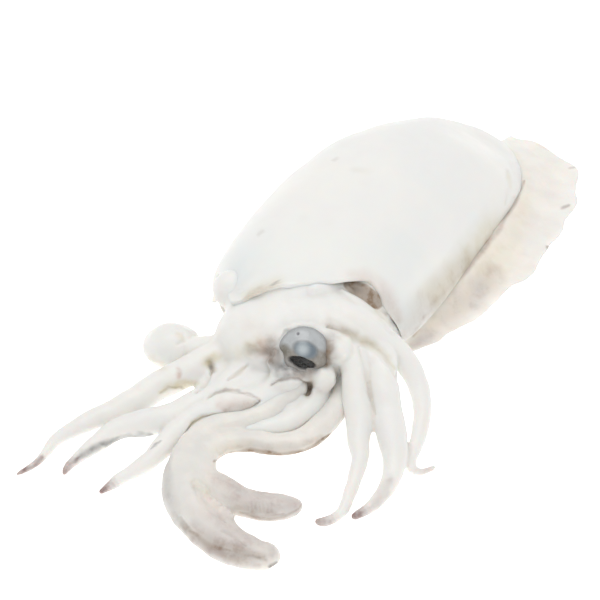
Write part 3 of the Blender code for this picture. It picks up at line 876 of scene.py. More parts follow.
def noise_node(tree, vector, scale, detail=3.0, roughness=0.5, distortion=0.0):
    node = tree.nodes.new("ShaderNodeTexNoise")
    node.inputs["Detail"].default_value = detail
    node.inputs["Roughness"].default_value = roughness
    node.inputs["Distortion"].default_value = distortion
    tree.links.new(vector, node.inputs["Vector"])
    if isinstance(scale, (int, float)):
        node.inputs["Scale"].default_value = scale
    else:
        tree.links.new(scale, node.inputs["Scale"])
    return node.outputs["Fac"]


def spread(tree, value, low, high):
    node = tree.nodes.new("ShaderNodeMapRange")
    node.interpolation_type = "SMOOTHSTEP"
    tree.links.new(value, node.inputs["Value"])
    node.inputs["From Min"].default_value = low
    node.inputs["From Max"].default_value = high
    return node.outputs["Result"]


def mixed(tree, share, first, second):
    node = tree.nodes.new("ShaderNodeMix")
    node.data_type = "RGBA"
    for value, socket in ((share, node.inputs[0]), (first, node.inputs[6]), (second, node.inputs[7])):
        if isinstance(value, (int, float)):
            socket.default_value = value
        elif isinstance(value, tuple):
            socket.default_value = (*value, 1.0)
        else:
            tree.links.new(value, socket)
    return node.outputs[2]


def mottling_group():
    """Soft blotches of two sizes, for colour that is never quite even."""
    if "mottling" in bpy.data.node_groups:
        return bpy.data.node_groups["mottling"]
    group, entry, leave = new_group("mottling", "Blotches", "Patches")
    for label, (share, detail, roughness, low, high) in (("Blotches", BLOTCHES), ("Patches", PATCHES)):
        scale = math_node(group, "MULTIPLY", entry.outputs["Scale"], share)
        cloud = noise_node(group, entry.outputs["Vector"], scale, detail, roughness)
        group.links.new(spread(group, cloud, low, high), leave.inputs[label])
    return group


def wet_skin_group():
    """Fine relief of wet skin: shallow puckers and a tight grain."""
    if "wet_skin" in bpy.data.node_groups:
        return bpy.data.node_groups["wet_skin"]
    group, entry, leave = new_group("wet_skin", "Height", "Roughness")
    vector = entry.outputs["Vector"]
    scale = entry.outputs["Scale"]
    pucker = noise_node(group, vector, scale, 3.0, 0.55, PUCKER_DISTORTION)
    grain = noise_node(group, vector, math_node(group, "MULTIPLY", scale, GRAIN_SCALE), 2.0, 0.5)
    height = math_node(group, "MULTIPLY_ADD", grain, GRAIN_HEIGHT, pucker)
    group.links.new(height, leave.inputs["Height"])
    dull = math_node(group, "MULTIPLY_ADD", spread(group, pucker, *PUCKER_SPAN), *WET_ROUGHNESS)
    group.links.new(dull, leave.inputs["Roughness"])
    return group


def grouped(tree, group, vector, scale):
    node = tree.nodes.new("ShaderNodeGroup")
    node.node_tree = group
    node.inputs["Scale"].default_value = scale
    tree.links.new(vector, node.inputs["Vector"])
    return node


def add_bump(tree, shader, height, strength, distance):
    bump = tree.nodes.new("ShaderNodeBump")
    bump.inputs["Strength"].default_value = strength
    bump.inputs["Distance"].default_value = distance
    tree.links.new(height, bump.inputs["Height"])
    tree.links.new(bump.outputs["Normal"], shader.inputs["Normal"])


def flesh_material(name, pale="flesh", cool="cool", warm="warm"):
    """Pale wet flesh: mottled, stained and painted with shade where the masks say, a little see-through."""
    look = dict(zip(LOOK_PARTS, LOOKS[name]))
    material, tree, shader, where = new_material(
        f"{name}_flesh",
        Subsurface_Weight=look["under"],
        Subsurface_Radius=LIGHT_REACH,
        Subsurface_Scale=bpy.context.scene.cuttlefish_colours.subsurface_depth,
        Coat_Weight=look["coat"],
        Coat_Roughness=FLESH_COAT_ROUGHNESS,
        IOR=WET_IOR,
        Specular_IOR_Level=FLESH_SPECULAR,
    )
    mottle = grouped(tree, mottling_group(), where, look["mottle"])
    colour = mixed(tree, mottle.outputs["Blotches"], settings_colour(pale), settings_colour(cool))
    patches = math_node(tree, "MULTIPLY", mottle.outputs["Patches"], look["patch"])
    colour = mixed(tree, patches, colour, settings_colour(warm))
    # Painted shade in the creases, from the crease mask.
    creases = math_node(tree, "MULTIPLY", mask_node(tree, "crease"), look["crease"])
    colour = mixed(tree, creases, colour, settings_colour("crease"))
    uneven = math_node(tree, "MULTIPLY_ADD", mottle.outputs["Patches"], *STAIN_AND_SHADE_UNEVENNESS)
    # Stains, and painted shade where marks lay these colours in creases, gaps and holes.
    for mask_name in STAINS_AND_SHADES:
        amount = math_node(tree, "MULTIPLY", mask_node(tree, mask_name), uneven)
        colour = mixed(tree, math_node(tree, "MINIMUM", amount, 1.0), colour, settings_colour(mask_name))
    tree.links.new(colour, shader.inputs["Base Color"])
    skin = grouped(tree, wet_skin_group(), where, look["skin"])
    tree.links.new(skin.outputs["Roughness"], shader.inputs["Roughness"])
    add_bump(tree, shader, skin.outputs["Height"], look["bump"], FLESH_RELIEF)
    return material


def mask_node(tree, name):
    node = tree.nodes.new("ShaderNodeAttribute")
    node.attribute_name = name
    return node.outputs["Fac"]


def settings_colour(name):
    return tuple(getattr(bpy.context.scene.cuttlefish_colours, name))


# What a user would change


def colour_property(name, description, value):
    return FloatVectorProperty(
        name=name, description=description, default=value, subtype="COLOR", min=0.0, max=1.0
    )


def value_property(name, description, value, unit="NONE"):
    return FloatProperty(name=name, description=description, default=value, unit=unit)


class CuttlefishColours(bpy.types.PropertyGroup):
    flesh: colour_property("Flesh", "Palest flesh", (0.885, 0.875, 0.838))
    cool: colour_property("Cool flesh", "Cooler blotches in the flesh", (0.855, 0.855, 0.838))
    club: colour_property("Club flesh", "Duller flesh of the tentacles", (0.79, 0.77, 0.735))
    warm: colour_property("Warm flesh", "Warmer patches in the flesh", (0.87, 0.84, 0.78))
    # Straw, grey, brown, tips and dark are the flesh's own stains and tints in some marks, and painted shade
    # in creases, gaps, holes and on undersides in others; the crease colour is painted shade only.
    straw: colour_property("Straw", "Yellowish stains", (0.66, 0.58, 0.36))
    blush: colour_property("Blush", "Pinkish stains", (0.62, 0.44, 0.38))
    grey: colour_property("Grey", "Grey tissue round the eye", (0.22, 0.22, 0.22))
    brown: colour_property("Brown", "Brown shade in folds", (0.30, 0.21, 0.14))
    tip: colour_property("Tips", "Mauve brown of the arm tips", (0.30, 0.21, 0.20))
    dark: colour_property("Dark", "Darkest marks", (0.05, 0.035, 0.03))
    crease: colour_property("Creases", "Shade of the creases between the arms", (0.60, 0.52, 0.42))
    subsurface_depth: value_property("Light depth", "How deep light goes into the flesh", 0.003, "LENGTH")


class CuttlefishSizes(bpy.types.PropertyGroup):
    voxel: value_property("Skin step", "Step of the head's skin in millimetres", 0.72)
    club_voxel: value_property("Club step", "Step of the tentacles' skin in millimetres", 0.5)


class StageSettings(bpy.types.PropertyGroup):
    floor_glow: value_property("Floor glow", "Light that the floor gives off", 0.55)
    world: value_property("Surroundings", "Strength of the white surroundings", 0.68)
    key: value_property("Key light", "Power of the large soft light", 2.5, "POWER")
    fill: value_property("Fill light", "Power of the weaker light", 0.6, "POWER")


# Operators


class CUTTLEFISH_OT_mantle(bpy.types.Operator):
    """Builds the mantle: the bag-shaped body with its open front hollow"""

    bl_idname = "cuttlefish.mantle"
    bl_label = "Mantle"

    def execute(self, context):
        mantle = rolled_grid("mantle", *MANTLE_GRID, mantle_place)
        carve_seen(mantle, MANTLE_FOLDS)
        for lumps in MANTLE_LUMPS:
            roughen(mantle, *lumps)
        rest_on_floor(mantle)
        points = read_points(mantle.data)
        # Painted shade: brown deep in the hollow and low on the right side, over the fin.
        add_mask(mantle, "brown", HOLLOW_BROWN * hollow_depth(points) + SIDE_BROWN * low_side(points))
        stain_and_shade_seen(mantle, MANTLE_MARKS, BROAD_UNEVENNESS)
        mark_hollows(mantle, *MANTLE_CREASES)
        finish_piece(mantle, flesh_material("mantle"), "body")
        return {"FINISHED"}


def beside_mantle(points):
    """How far each point lies from the mantle's skin: below 1 inside it, 1 on it, above 1 outside."""
    x, y, z = points.T
    side = MANTLE_SIDE_LEVEL * mantle_height(y)
    across = np.abs(x - mantle_middle(y)) / np.maximum(1.0, mantle_half_width(y))
    rise = np.maximum(1.0, np.where(z > side, mantle_height(y) - side, side))
    up = np.abs(z - side) / rise
    power = 2.0 / MANTLE_SQUARENESS
    return across**power + up**power


def hollow_depth(points):
    """1 deep inside the mantle's hollow and 0 outside it."""
    x, y, z = points.T
    level = z + droop(x, y) * smoothstep(*HOLLOW_DROOP_Z, z)
    inside = smoothstep(*HOLLOW_INSIDE, beside_mantle(np.stack([x, y, level], axis=1)))
    return inside * smoothstep(*HOLLOW_BEHIND_RIM, y - rim_y(x)) * smoothstep(*HOLLOW_BACK_Y, y)


def throat(points):
    """1 on the tissue that shows in the mantle's open front right corner, with a crisp edge."""
    gap = line_distance(photo_place(points), THROAT_LINE)
    return smoothstep(THROAT_RADIUS, THROAT_RADIUS - THROAT_EDGE, gap) * smoothstep(*THROAT_Z, points[:, 2])


def low_side(points):
    """1 low on the right of the mantle, where it tucks in over the fin, and 0 on its top."""
    x, y, z = points.T
    return smoothstep(*LOW_SIDE_X, x) * smoothstep(*LOW_SIDE_Y, y) * smoothstep(*LOW_SIDE_Z, z)


class CUTTLEFISH_OT_fins(bpy.types.Operator):
    """Builds the two fins: thin frilled skirts along both sides of the mantle"""

    bl_idname = "cuttlefish.fins"
    bl_label = "Fins"

    def execute(self, context):
        material = flesh_material("fin")
        size, height, seed = FIN_LUMPS
        for name, side in (("right_fin", 1), ("left_fin", -1)):
            fin = rolled_grid(name, *FIN_GRID, fin_place(side))
            roughen(fin, size, height, seed * side)
            rest_on_floor(fin)
            dabbed(fin, FIN_STAINS[side])
            if side > 0:
                stain_and_shade_seen(fin, FIN_MARKS, BROAD_UNEVENNESS)
            gap = beside_mantle(read_points(fin.data))
            # Painted yellowish shade on the fin where it meets the mantle.
            add_mask(fin, "straw", FIN_STRAW * smoothstep(*FIN_STRAW_SPAN, gap))
            finish_piece(fin, material, "body")
        return {"FINISHED"}


class CUTTLEFISH_OT_head_and_arms(bpy.types.Operator):
    """Builds the head, its seven spread arms and the coiled one as one skin"""

    bl_idname = "cuttlefish.head_and_arms"
    bl_label = "Head and arms"

    def execute(self, context):
        limbs = {**ARMS, "coiled_arm": coil_points()}
        parts = [dome(*shape) for shape in DOMES]
        parts += [limb(name, points, ARM_HEIGHT_SHARE) for name, points in limbs.items()]
        parts.append(limb("eye_lid", lid_points(), 1.0))
        head = joined("head_and_arms", parts)
        remeshed(head, context.scene.cuttlefish_sizes.voxel)
        edges = read_edges(head.data)
        points = relaxed(read_points(head.data), edges, *RELAX_ALL)
        share = limb_fields(points, limbs.values())[1]
        rounds, strength = RELAX_MEET
        points = relaxed(points, edges, rounds, strength * smoothstep(*ARM_ROOT, share))
        write_points(head.data, points)
        carve_seen(head, HEAD_FOLDS)
        roughen(head, *HEAD_LUMPS)
        rest_on_floor(head)
        # Painted shade in a small hole of the head.
        dabbed(head, HEAD_HOLE_SHADE)
        stain_and_shade_seen(head, HEAD_MARKS, FINE_UNEVENNESS)
        # Brown on the tissue seen in the hollow: partly its own colour, partly painted shade of the hollow.
        add_mask(head, "brown", THROAT_BROWN * throat(points))
        coiled = falloff(points, [COIL_CENTRE], COIL_PALE_RADIUS) > 0.0
        pale_tip = falloff(points, [ARMS["right_outer"][-2][:3]], PALE_TIP_RADIUS) > 0.0
        strength = ARM_TIP_STRENGTH * (1.0 - PALE_TIP_LOSS * pale_tip)
        add_mask(head, "tip", np.where(coiled, 0.0, strength * smoothstep(*ARM_TIP, share)))
        mark_hollows(head, *HEAD_CREASES)
        finish_piece(head, flesh_material("head"), "body")
        return {"FINISHED"}


def limb_fields(points, limbs):
    """For each point its gap to the second nearest limb, in half widths, and its share along the nearest."""
    nearest = np.full(len(points), FAR)
    second = np.full(len(points), FAR)
    share = np.zeros(len(points))
    for line in limbs:
        route = smooth_route(line)[1]
        gap = np.full(len(points), FAR)
        at = np.zeros(len(points))
        for i, place in enumerate(route[::2]):
            away = np.linalg.norm(points - place[:3], axis=1) / place[3]
            closer = away < gap
            gap = np.where(closer, away, gap)
            at = np.where(closer, 2 * i / len(route), at)
        closest = gap < nearest
        second = np.where(closest, nearest, np.minimum(second, gap))
        share = np.where(closest, at, share)
        nearest = np.where(closest, gap, nearest)
    return second, np.where(nearest < LIMB_REACH, share, 0.0)


class CUTTLEFISH_OT_tentacles(bpy.types.Operator):
    """Builds the two long tentacles, whose crescent clubs lie against each other, as one skin"""

    bl_idname = "cuttlefish.tentacles"
    bl_label = "Tentacles"

    def execute(self, context):
        finish = (TENTACLE_HEIGHT_SHARE, TENTACLE_UNEVEN, TENTACLE_FINER)
        tentacles = joined("tentacles", [limb(name, line, *finish) for name, line in TENTACLES.items()])
        remeshed(tentacles, context.scene.cuttlefish_sizes.club_voxel)
        edges = read_edges(tentacles.data)
        points = relaxed(read_points(tentacles.data), edges, *RELAX_ALL)
        second = limb_fields(points, TENTACLES.values())[0]
        rounds, strength = RELAX_MEET
        points = relaxed(points, edges, rounds, strength * smoothstep(*CLUBS_MEET, second))
        write_points(tentacles.data, points)
        roughen(tentacles, *CLUB_LUMPS)
        carve_seen(tentacles, CLUB_FOLDS)
        rest_on_floor(tentacles)
        stain_and_shade_seen(tentacles, CLUB_MARKS, CLUB_UNEVENNESS)
        mark_hollows(tentacles, *CLUB_CREASES)
        finish_piece(tentacles, flesh_material("tentacle", "club", "warm", "club"), "body")
        return {"FINISHED"}


class CUTTLEFISH_OT_eyes(bpy.types.Operator):
    """Builds both eyeballs: grey-blue lid, bulging lens, black slit pupil and wrinkled lower half"""

    bl_idname = "cuttlefish.eyes"
    bl_label = "Eyes"

    def execute(self, context):
        material = eye_material()
        for name, centre in (("upper_eyeball", UPPER_EYE), ("lower_eyeball", LOWER_EYE)):
            ball = dome(name, centre, (EYE_RADIUS,) * 3, 0.0)
            finer = ball.modifiers.new("finer", "SUBSURF")
            finer.levels = 2
            finer.subdivision_type = "SIMPLE"
            bpy.ops.object.modifier_apply(modifier=finer.name)
            shape_eye(ball, centre)
            rest_on_floor(ball)
            close_up(ball)
            finish_piece(ball, material, name.replace("eyeball", "eye"))
        return {"FINISHED"}


def oval(across, up, place, size, fade):
    """1 inside an oval of the eye and 0 outside it."""
    return smoothstep(*fade, np.hypot((across - place[0]) / size[0], (up - place[1]) / size[1]))


def shape_eye(ball, centre):
    """Lens, pupil, lid and wrinkles by their places to the right of and above the ball's middle."""
    right, up, outward = view_axes()
    away = read_points(ball.data) - np.array(centre)
    away = away / np.linalg.norm(away, axis=1)[:, None] * EYE_RADIUS
    a, b, c = away @ right, away @ up, away @ outward
    lean = math.radians(EYE_LEAN)
    along, over = a * math.cos(lean) + b * math.sin(lean), b * math.cos(lean) - a * math.sin(lean)
    front = smoothstep(*EYE_FRONT, c)
    lens = front * oval(along, over, *LENS_OVAL)
    wave, rate = PUPIL_WAVE
    place, (width, slit), fade = PUPIL_OVAL
    pupil = front * oval(along, over, place, (width, slit + wave * np.cos(rate * along)), fade)
    lid = front * smoothstep(*LID_SPAN, b + LID_ARCH * np.abs(a)) * (1.0 - lens)
    olive = front * oval(a, b, *OLIVE_OVAL) * (1.0 - pupil)
    speck = front * oval(a, b, *SPECK_OVAL)
    low = front * smoothstep(*LOW_SPAN, over)
    rim = front * smoothstep(*RIM_OUT, np.hypot(a, b)) * smoothstep(*RIM_UP, b)
    places = zip(a * PUCKER_RATES[0], b * PUCKER_RATES[1])
    puckers = np.array([noise.noise(Vector((*place, PUCKER_SEED))) for place in places])
    rise = LENS_RISE * lens + PUPIL_RISE * pupil + LID_RISE * lid + SPECK_RISE * speck
    rise = rise + (low + OLIVE_PUCKERS * olive) * puckers
    write_points(ball.data, np.array(centre) + away * (1.0 + rise / EYE_RADIUS)[:, None])
    masks = {"lens": lens, "pupil": pupil, "lid": lid, "low": low, "olive": olive}
    # Painted highlight on the lens.
    masks["glint"] = lens * oval(a, b, *GLINT_OVAL)
    # Painted shade along the ball's upper rim.
    masks["rim"] = RIM_STRENGTH * rim
    masks["speck"] = SPECK_STRENGTH * speck
    for name, values in masks.items():
        set_mask(ball.data, name, values)


def eye_material():
    """Wet grey-blue ball with its lens, pupil and lid in the colours of their masks."""
    material, tree, shader, where = new_material(
        "wet_eye", Coat_Weight=EYE_COAT, Coat_Roughness=EYE_COAT_ROUGHNESS, IOR=WET_IOR
    )
    mottle = grouped(tree, mottling_group(), where, EYE_MOTTLE)
    colour = mixed(tree, mottle.outputs["Blotches"], *EYE_GROUND)
    for name, shade in EYE_SKIN.items():
        colour = mixed(tree, mask_node(tree, name), colour, shade)
    amount, shade = EYE_SPECKS
    colour = mixed(tree, math_node(tree, "MULTIPLY", mottle.outputs["Patches"], amount), colour, shade)
    for name, shade in EYE_MARKS.items():
        colour = mixed(tree, mask_node(tree, name), colour, shade)
    tree.links.new(colour, shader.inputs["Base Color"])
    skin = grouped(tree, wet_skin_group(), where, EYE_SKIN_SCALE)
    rough = math_node(tree, "MULTIPLY", skin.outputs["Roughness"], EYE_GLOSS)
    tree.links.new(rough, shader.inputs["Roughness"])
    add_bump(tree, shader, skin.outputs["Height"], EYE_BUMP, EYE_RELIEF)
    return material


class CUTTLEFISH_OT_stage(bpy.types.Operator):
    """Builds the pale floor, the soft lights and the camera"""

    bl_idname = "cuttlefish.stage"
    bl_label = "Stage"

    def execute(self, context):
        settings = context.scene.cuttlefish_stage
        bpy.ops.object.select_all(action="DESELECT")
        bpy.ops.mesh.primitive_plane_add(size=FLOOR_SIZE, location=(0.0, 0.0, 0.0))
        floor = bpy.context.object
        floor.name = "floor"
        floor.data.materials.append(floor_material(settings.floor_glow))
        world = bpy.data.worlds.new("surroundings")
        world.use_nodes = True
        background = world.node_tree.nodes["Background"]
        background.inputs["Color"].default_value = WHITE
        background.inputs["Strength"].default_value = settings.world
        context.scene.world = world
        for name, (place, size) in LIGHTS.items():
            soft_light(name, place, size, getattr(settings, name))
        context.scene.view_settings.view_transform = "Standard"
        add_camera()
        return {"FINISHED"}


def floor_material(glow):
    """Dull white that gives off a little light of its own."""
    material, tree, shader, where = new_material(
        "pale_floor", Roughness=0.9, Specular_IOR_Level=0.0, Emission_Color=WHITE, Emission_Strength=glow
    )
    cloud = noise_node(tree, where, FLOOR_CLOUDS)
    tree.links.new(mixed(tree, cloud, *FLOOR_SHADES), shader.inputs["Base Color"])
    return material


def soft_light(name, place, size, power):
    bpy.ops.object.light_add(type="AREA", location=place)
    light = bpy.context.object
    light.name = name
    light.data.name = name
    light.data.shape = "DISK"
    light.data.size = size
    light.data.energy = power
    light.rotation_euler = (Vector(LIT_PLACE) - Vector(place)).to_track_quat("-Z", "Y").to_euler()


def add_camera():
    """The photograph's own view."""
    back = Vector(view_axes()[2])
    target = Vector(in_metres(np.array(VIEW_TARGET)))
    bpy.ops.object.camera_add(location=target + back * VIEW_DISTANCE * MM)
    camera = bpy.context.object
    camera.name = "camera"
    camera.rotation_euler = (-back).to_track_quat("-Z", "Y").to_euler()
    camera.data.lens = VIEW_LENS
    camera.data.sensor_width = VIEW_SENSOR
    camera.data.clip_start = 0.01
    bpy.context.scene.camera = camera


# Folds and marks below are placed by the photograph, in its own pixels, and are named for what they show.
# A fold has its height in millimetres (below zero presses in), its radius in pixels and its line. A mark has
# its mask, its strength, its radius in pixels and its line; the mask gives the flesh's own stain on some
# marks and painted shade on others, as the comments in each table say. The fins' stains and the head's
# painted shade in a small hole are placed in the design instead, each dab with its strength, its radius in
# millimetres and its line.
THROAT_LINE = [(351, 286), (364, 292), (377, 301)]
THROAT_RADIUS = 9.0
THROAT_EDGE = 2.5
MANTLE_FOLDS = {
    "loop_by_fin": (0.9, 6.5, [(512, 163), (519, 171), (521, 183), (514, 196)]),
    "inside_loop": (-0.7, 5.0, [(508, 170), (510, 186), (506, 204)]),
}
MANTLE_MARKS = {
    "rim_shade": ("brown", 0.22, 6.0, [(242, 301), (252, 293), (264, 287), (276, 284)]),
    "rim_straw": ("straw", 0.25, 11.0, [(246, 297), (262, 287), (280, 281)]),
    "rim_curl": ("grey", 0.5, 1.8, [(274, 284), (277, 281), (282, 282)]),
    # Painted shade under the lobe's lower edge.
    "lobe_edge": ("grey", 0.25, 5.0, [(217, 300), (227, 306), (240, 302)]),
    "beside_hollow": ("blush", 0.32, 15.0, [(352, 277), (366, 279), (388, 294), (398, 318)]),
    "rim_right_shade": ("brown", 0.22, 15.0, [(382, 298), (396, 320), (404, 340)]),
    # Painted shade in the crease between the mantle and the fin, and in the fold inside the loop.
    "fin_crease_line": ("brown", 0.4, 7.0, [(412, 334), (433, 304), (465, 271), (498, 228), (515, 202)]),
    "fin_crease_shade": ("straw", 0.42, 26.0, [(436, 296), (465, 266), (495, 226)]),
    "fin_crease_low": ("brown", 0.3, 26.0, [(400, 336), (420, 312), (446, 284), (470, 258)]),
    "inside_loop": ("straw", 0.2, 4.0, [(508, 172), (510, 188)]),
    "left_tints": ("brown", 0.2, 3.0, [(334, 160), (337, 158)]),
    "left_edge_tint": ("brown", 0.2, 3.0, [(260, 234), (264, 231)]),
}
FIN_STAINS = {
    1: {"grey": [(0.1, 20.0, [(60, 120, 2)])]},
    -1: {"grey": [(0.3, 3.0, [(-44, 20, 3), (-50, 60, 2)])], "straw": [(0.2, 12.0, [(-45, 60, 5)])]},
}
FIN_MARKS = {
    # Painted shade on the fin along its crease with the mantle and low on its front beside the body.
    "yellow_band": ("straw", 0.24, 30.0, [(430, 322), (455, 300), (480, 278), (506, 244), (524, 204)]),
    "low_grey": ("grey", 0.34, 30.0, [(420, 338), (440, 324), (470, 300), (490, 280)]),
    "all_grey": ("grey", 0.08, 70.0, [(430, 330), (490, 290), (530, 230), (545, 180)]),
    # Painted shade in the crease between the fin and the mantle.
    "crease_line": (
        "brown", 0.45, 4.5, [(412, 336), (433, 305), (465, 272), (498, 230), (518, 197), (523, 180)],
    ),
    "edge_spot_1": ("grey", 0.5, 2.2, [(565, 158), (572, 160)]),
    "edge_spot_2": ("grey", 0.5, 2.2, [(570, 168), (576, 167)]),
    "edge_spot_3": ("grey", 0.6, 2.4, [(561, 208), (568, 206)]),
    "edge_spot_4": ("grey", 0.7, 2.6, [(549, 246), (550, 249)]),
    "edge_tint": ("blush", 0.2, 3.0, [(538, 145), (552, 149)]),
}
HEAD_FOLDS = {
    "behind_band": (-0.8, 7.0, [(350, 286), (363, 294), (376, 304), (387, 314)]),
    "nape_rise": (1.6, 10.0, [(316, 289), (332, 287), (346, 289)]),
    "band_crest": (0.9, 5.0, [(341, 290), (353, 297), (367, 308), (381, 321), (393, 333)]),
    "under_right_outer": (
        -1.6, 8.0, [(328, 326), (345, 331), (357, 338), (371, 344), (384, 353), (394, 368), (402, 384)],
    ),
    "right_inner_knob": (1.5, 8.0, [(346, 341), (345, 353)]),
    "right_inner_to_middle": (-0.6, 4.0, [(359, 346), (363, 362), (367, 378), (371, 398), (375, 414)]),
    "middle_arm_top": (1.0, 8.0, [(322, 374), (318, 384)]),
    "hole_below_eye": (-2.6, 5.0, [(308, 387), (307, 392)]),
    "eye_root_top": (1.2, 7.0, [(279, 374), (290, 372), (298, 375)]),
    "fold_below_eye": (-1.0, 3.2, [(271, 385), (280, 380), (290, 378), (299, 379), (306, 384)]),
    "lobe_crease": (-0.9, 3.0, [(206, 399), (215, 393), (226, 390), (240, 391), (251, 395), (260, 400)]),
    "lobe_under": (
        -1.6, 4.0, [(260, 401), (252, 408), (241, 414), (222, 416), (203, 417), (193, 423), (185, 437)],
    ),
    "left_lobe_groove": (-0.8, 3.5, [(228, 380), (240, 372), (248, 365)]),
    "left_hole": (-1.8, 6.0, [(210, 362), (212, 369)]),
    "left_middle_edge": (-1.4, 4.5, [(212, 372), (205, 382), (196, 392)]),
    "left_of_eye": (-2.0, 8.0, [(252, 351), (268, 354)]),
    "coil_swirl": (-0.5, 3.5, [(176, 333), (183, 334), (184, 341), (178, 344)]),
    "neck_fold": (-0.8, 4.0, [(392, 308), (400, 330)]),
}
# Painted shade in a small hole of the head.
HEAD_HOLE_SHADE = {"dark": [(0.5, 2.0, [(-4.5, -57.5, 10)])]}
HEAD_MARKS = {
    # Painted shade in the groove under the right outer arm.
    "groove_tan": ("brown", 0.24, 10.0, [(330, 324), (342, 328), (352, 333)]),
    "groove_straw": ("straw", 0.32, 7.5, [(342, 329), (356, 338), (371, 344), (384, 353), (395, 369)]),
    "groove_line": ("brown", 0.14, 2.6, [(357, 339), (371, 345), (384, 354), (393, 367)]),
    "knob_shade": ("grey", 0.1, 6.0, [(333, 343), (338, 358)]),
    # Painted shade in the gaps between the right arms and beside the middle arm.
    "right_gap_brown": ("brown", 0.2, 2.4, [(367, 382), (369, 394), (370, 402)]),
    "middle_gap": ("brown", 0.3, 3.5, [(336, 372), (339, 384), (340, 394)]),
    "middle_blush": ("blush", 0.35, 4.0, [(312, 373), (311, 380)]),
    # Painted shade in the hole below the eye.
    "hole": ("dark", 0.6, 4.0, [(309, 388), (308, 391)]),
    "hole_edge": ("brown", 0.6, 8.0, [(309, 385), (307, 392)]),
    # Painted shade in the fold below the eye and in the crease round the ball.
    "fold_line": ("tip", 0.4, 2.4, [(272, 384), (281, 380), (290, 378), (299, 379), (305, 383)]),
    "eye_ring": ("grey", 0.45, 3.0, [(278, 341), (286, 331), (299, 327), (312, 330), (321, 338), (326, 350)]),
    "eye_corner": ("blush", 0.7, 2.4, [(326, 350), (327, 359)]),
    "left_tissue": ("grey", 0.7, 14.0, [(274, 350), (273, 360), (284, 370)]),
    "left_tissue_dark": ("grey", 0.85, 7.0, [(277, 352), (278, 362), (284, 370)]),
    "left_tissue_warm": ("brown", 0.4, 14.0, [(272, 344), (271, 358)]),
    "lower_lumps": ("grey", 0.65, 12.0, [(297, 370), (309, 371)]),
    "lumps_olive": ("brown", 0.35, 10.0, [(300, 372), (308, 374)]),
    "lower_right": ("grey", 0.4, 6.0, [(316, 366), (326, 361)]),
    # Partly the brown-grey tissue right of the eye, partly painted shade on that side of the eye.
    "right_tissue_edge": ("brown", 0.9, 8.0, [(326, 344), (328, 353), (326, 363)]),
    "right_tissue_grey": ("grey", 0.4, 12.0, [(328, 340), (331, 358)]),
    "right_tissue": ("brown", 0.16, 11.0, [(328, 344), (330, 358)]),
    # Painted shade above the eye.
    "above_eye": ("grey", 0.09, 12.0, [(284, 324), (318, 326)]),
    "left_brown": ("brown", 0.3, 11.0, [(250, 350), (266, 351)]),
    "left_blush": ("blush", 0.5, 11.0, [(262, 346), (269, 354)]),
    "left_straw": ("straw", 0.3, 12.0, [(242, 353), (258, 344)]),
    "brow_blush": ("blush", 0.12, 12.0, [(250, 326), (272, 334)]),
    # Painted shade in the crease along the lobe's top edge.
    "lobe_line": ("tip", 0.35, 2.2, [(208, 398), (216, 393), (226, 390), (240, 391), (251, 395), (259, 400)]),
    "lobe_shade": ("brown", 0.4, 8.0, [(226, 410), (243, 408), (256, 403)]),
    "lobe_blush": ("blush", 0.35, 10.0, [(222, 405), (246, 402)]),
    # Painted shade along the lobe's lower edge and in the crease under it.
    "lobe_right": ("brown", 0.4, 6.0, [(256, 401), (246, 409), (236, 413)]),
    "lobe_end": ("brown", 0.7, 2.4, [(258, 403), (247, 412), (238, 415), (239, 421)]),
    "lobe_under_line": ("straw", 0.5, 3.5, [(238, 415), (220, 416), (203, 417), (193, 423), (184, 437)]),
    "ridge_shade": ("brown", 0.2, 5.0, [(198, 430), (214, 428), (232, 424)]),
    "groove_green": ("straw", 0.2, 4.0, [(229, 379), (240, 372), (247, 366)]),
    # Painted shade in the small hole on the left.
    "left_hole": ("brown", 0.5, 5.0, [(211, 365), (212, 369)]),
    "left_olive": ("straw", 0.6, 9.0, [(206, 362), (215, 357)]),
    "left_red": ("blush", 0.6, 4.5, [(179, 370), (179, 377)]),
    "left_olive_shade": ("straw", 0.5, 7.0, [(160, 393), (170, 386), (182, 384), (198, 384)]),
    # Painted shade along the lower edge of the left outer arm.
    "left_edge_line": ("brown", 0.35, 2.4, [(160, 394), (169, 387), (181, 387), (191, 392)]),
    "knob_olive": ("straw", 0.25, 8.0, [(152, 360), (162, 366)]),
    # Painted shade on the underside of the left middle arm.
    "left_middle_under": ("grey", 0.6, 6.5, [(69, 464), (82, 455), (100, 446), (120, 438)]),
    "left_middle_under_far": ("grey", 0.6, 6.0, [(112, 441), (135, 436), (152, 435)]),
    "left_inner_line": ("grey", 0.6, 2.2, [(151, 449), (156, 444), (162, 440)]),
    "right_middle_end": ("tip", 0.32, 10.0, [(390, 478), (381, 498), (368, 513)]),
    "left_outer_end": ("tip", 0.95, 6.5, [(42, 458), (33, 467), (20, 473)]),
    "left_middle_end": ("tip", 0.6, 5.0, [(78, 457), (70, 466), (64, 477)]),
    "swirl": ("straw", 0.2, 5.0, [(178, 335), (183, 339)]),
    "nape_grey": ("grey", 0.05, 12.0, [(296, 318), (312, 320)]),
    "collar_shade": ("straw", 0.25, 7.0, [(376, 312), (388, 322)]),
    # Painted shade in the narrow gap beside the collar.
    "crack": ("dark", 0.7, 3.0, [(396, 315), (397, 322), (401, 331)]),
}
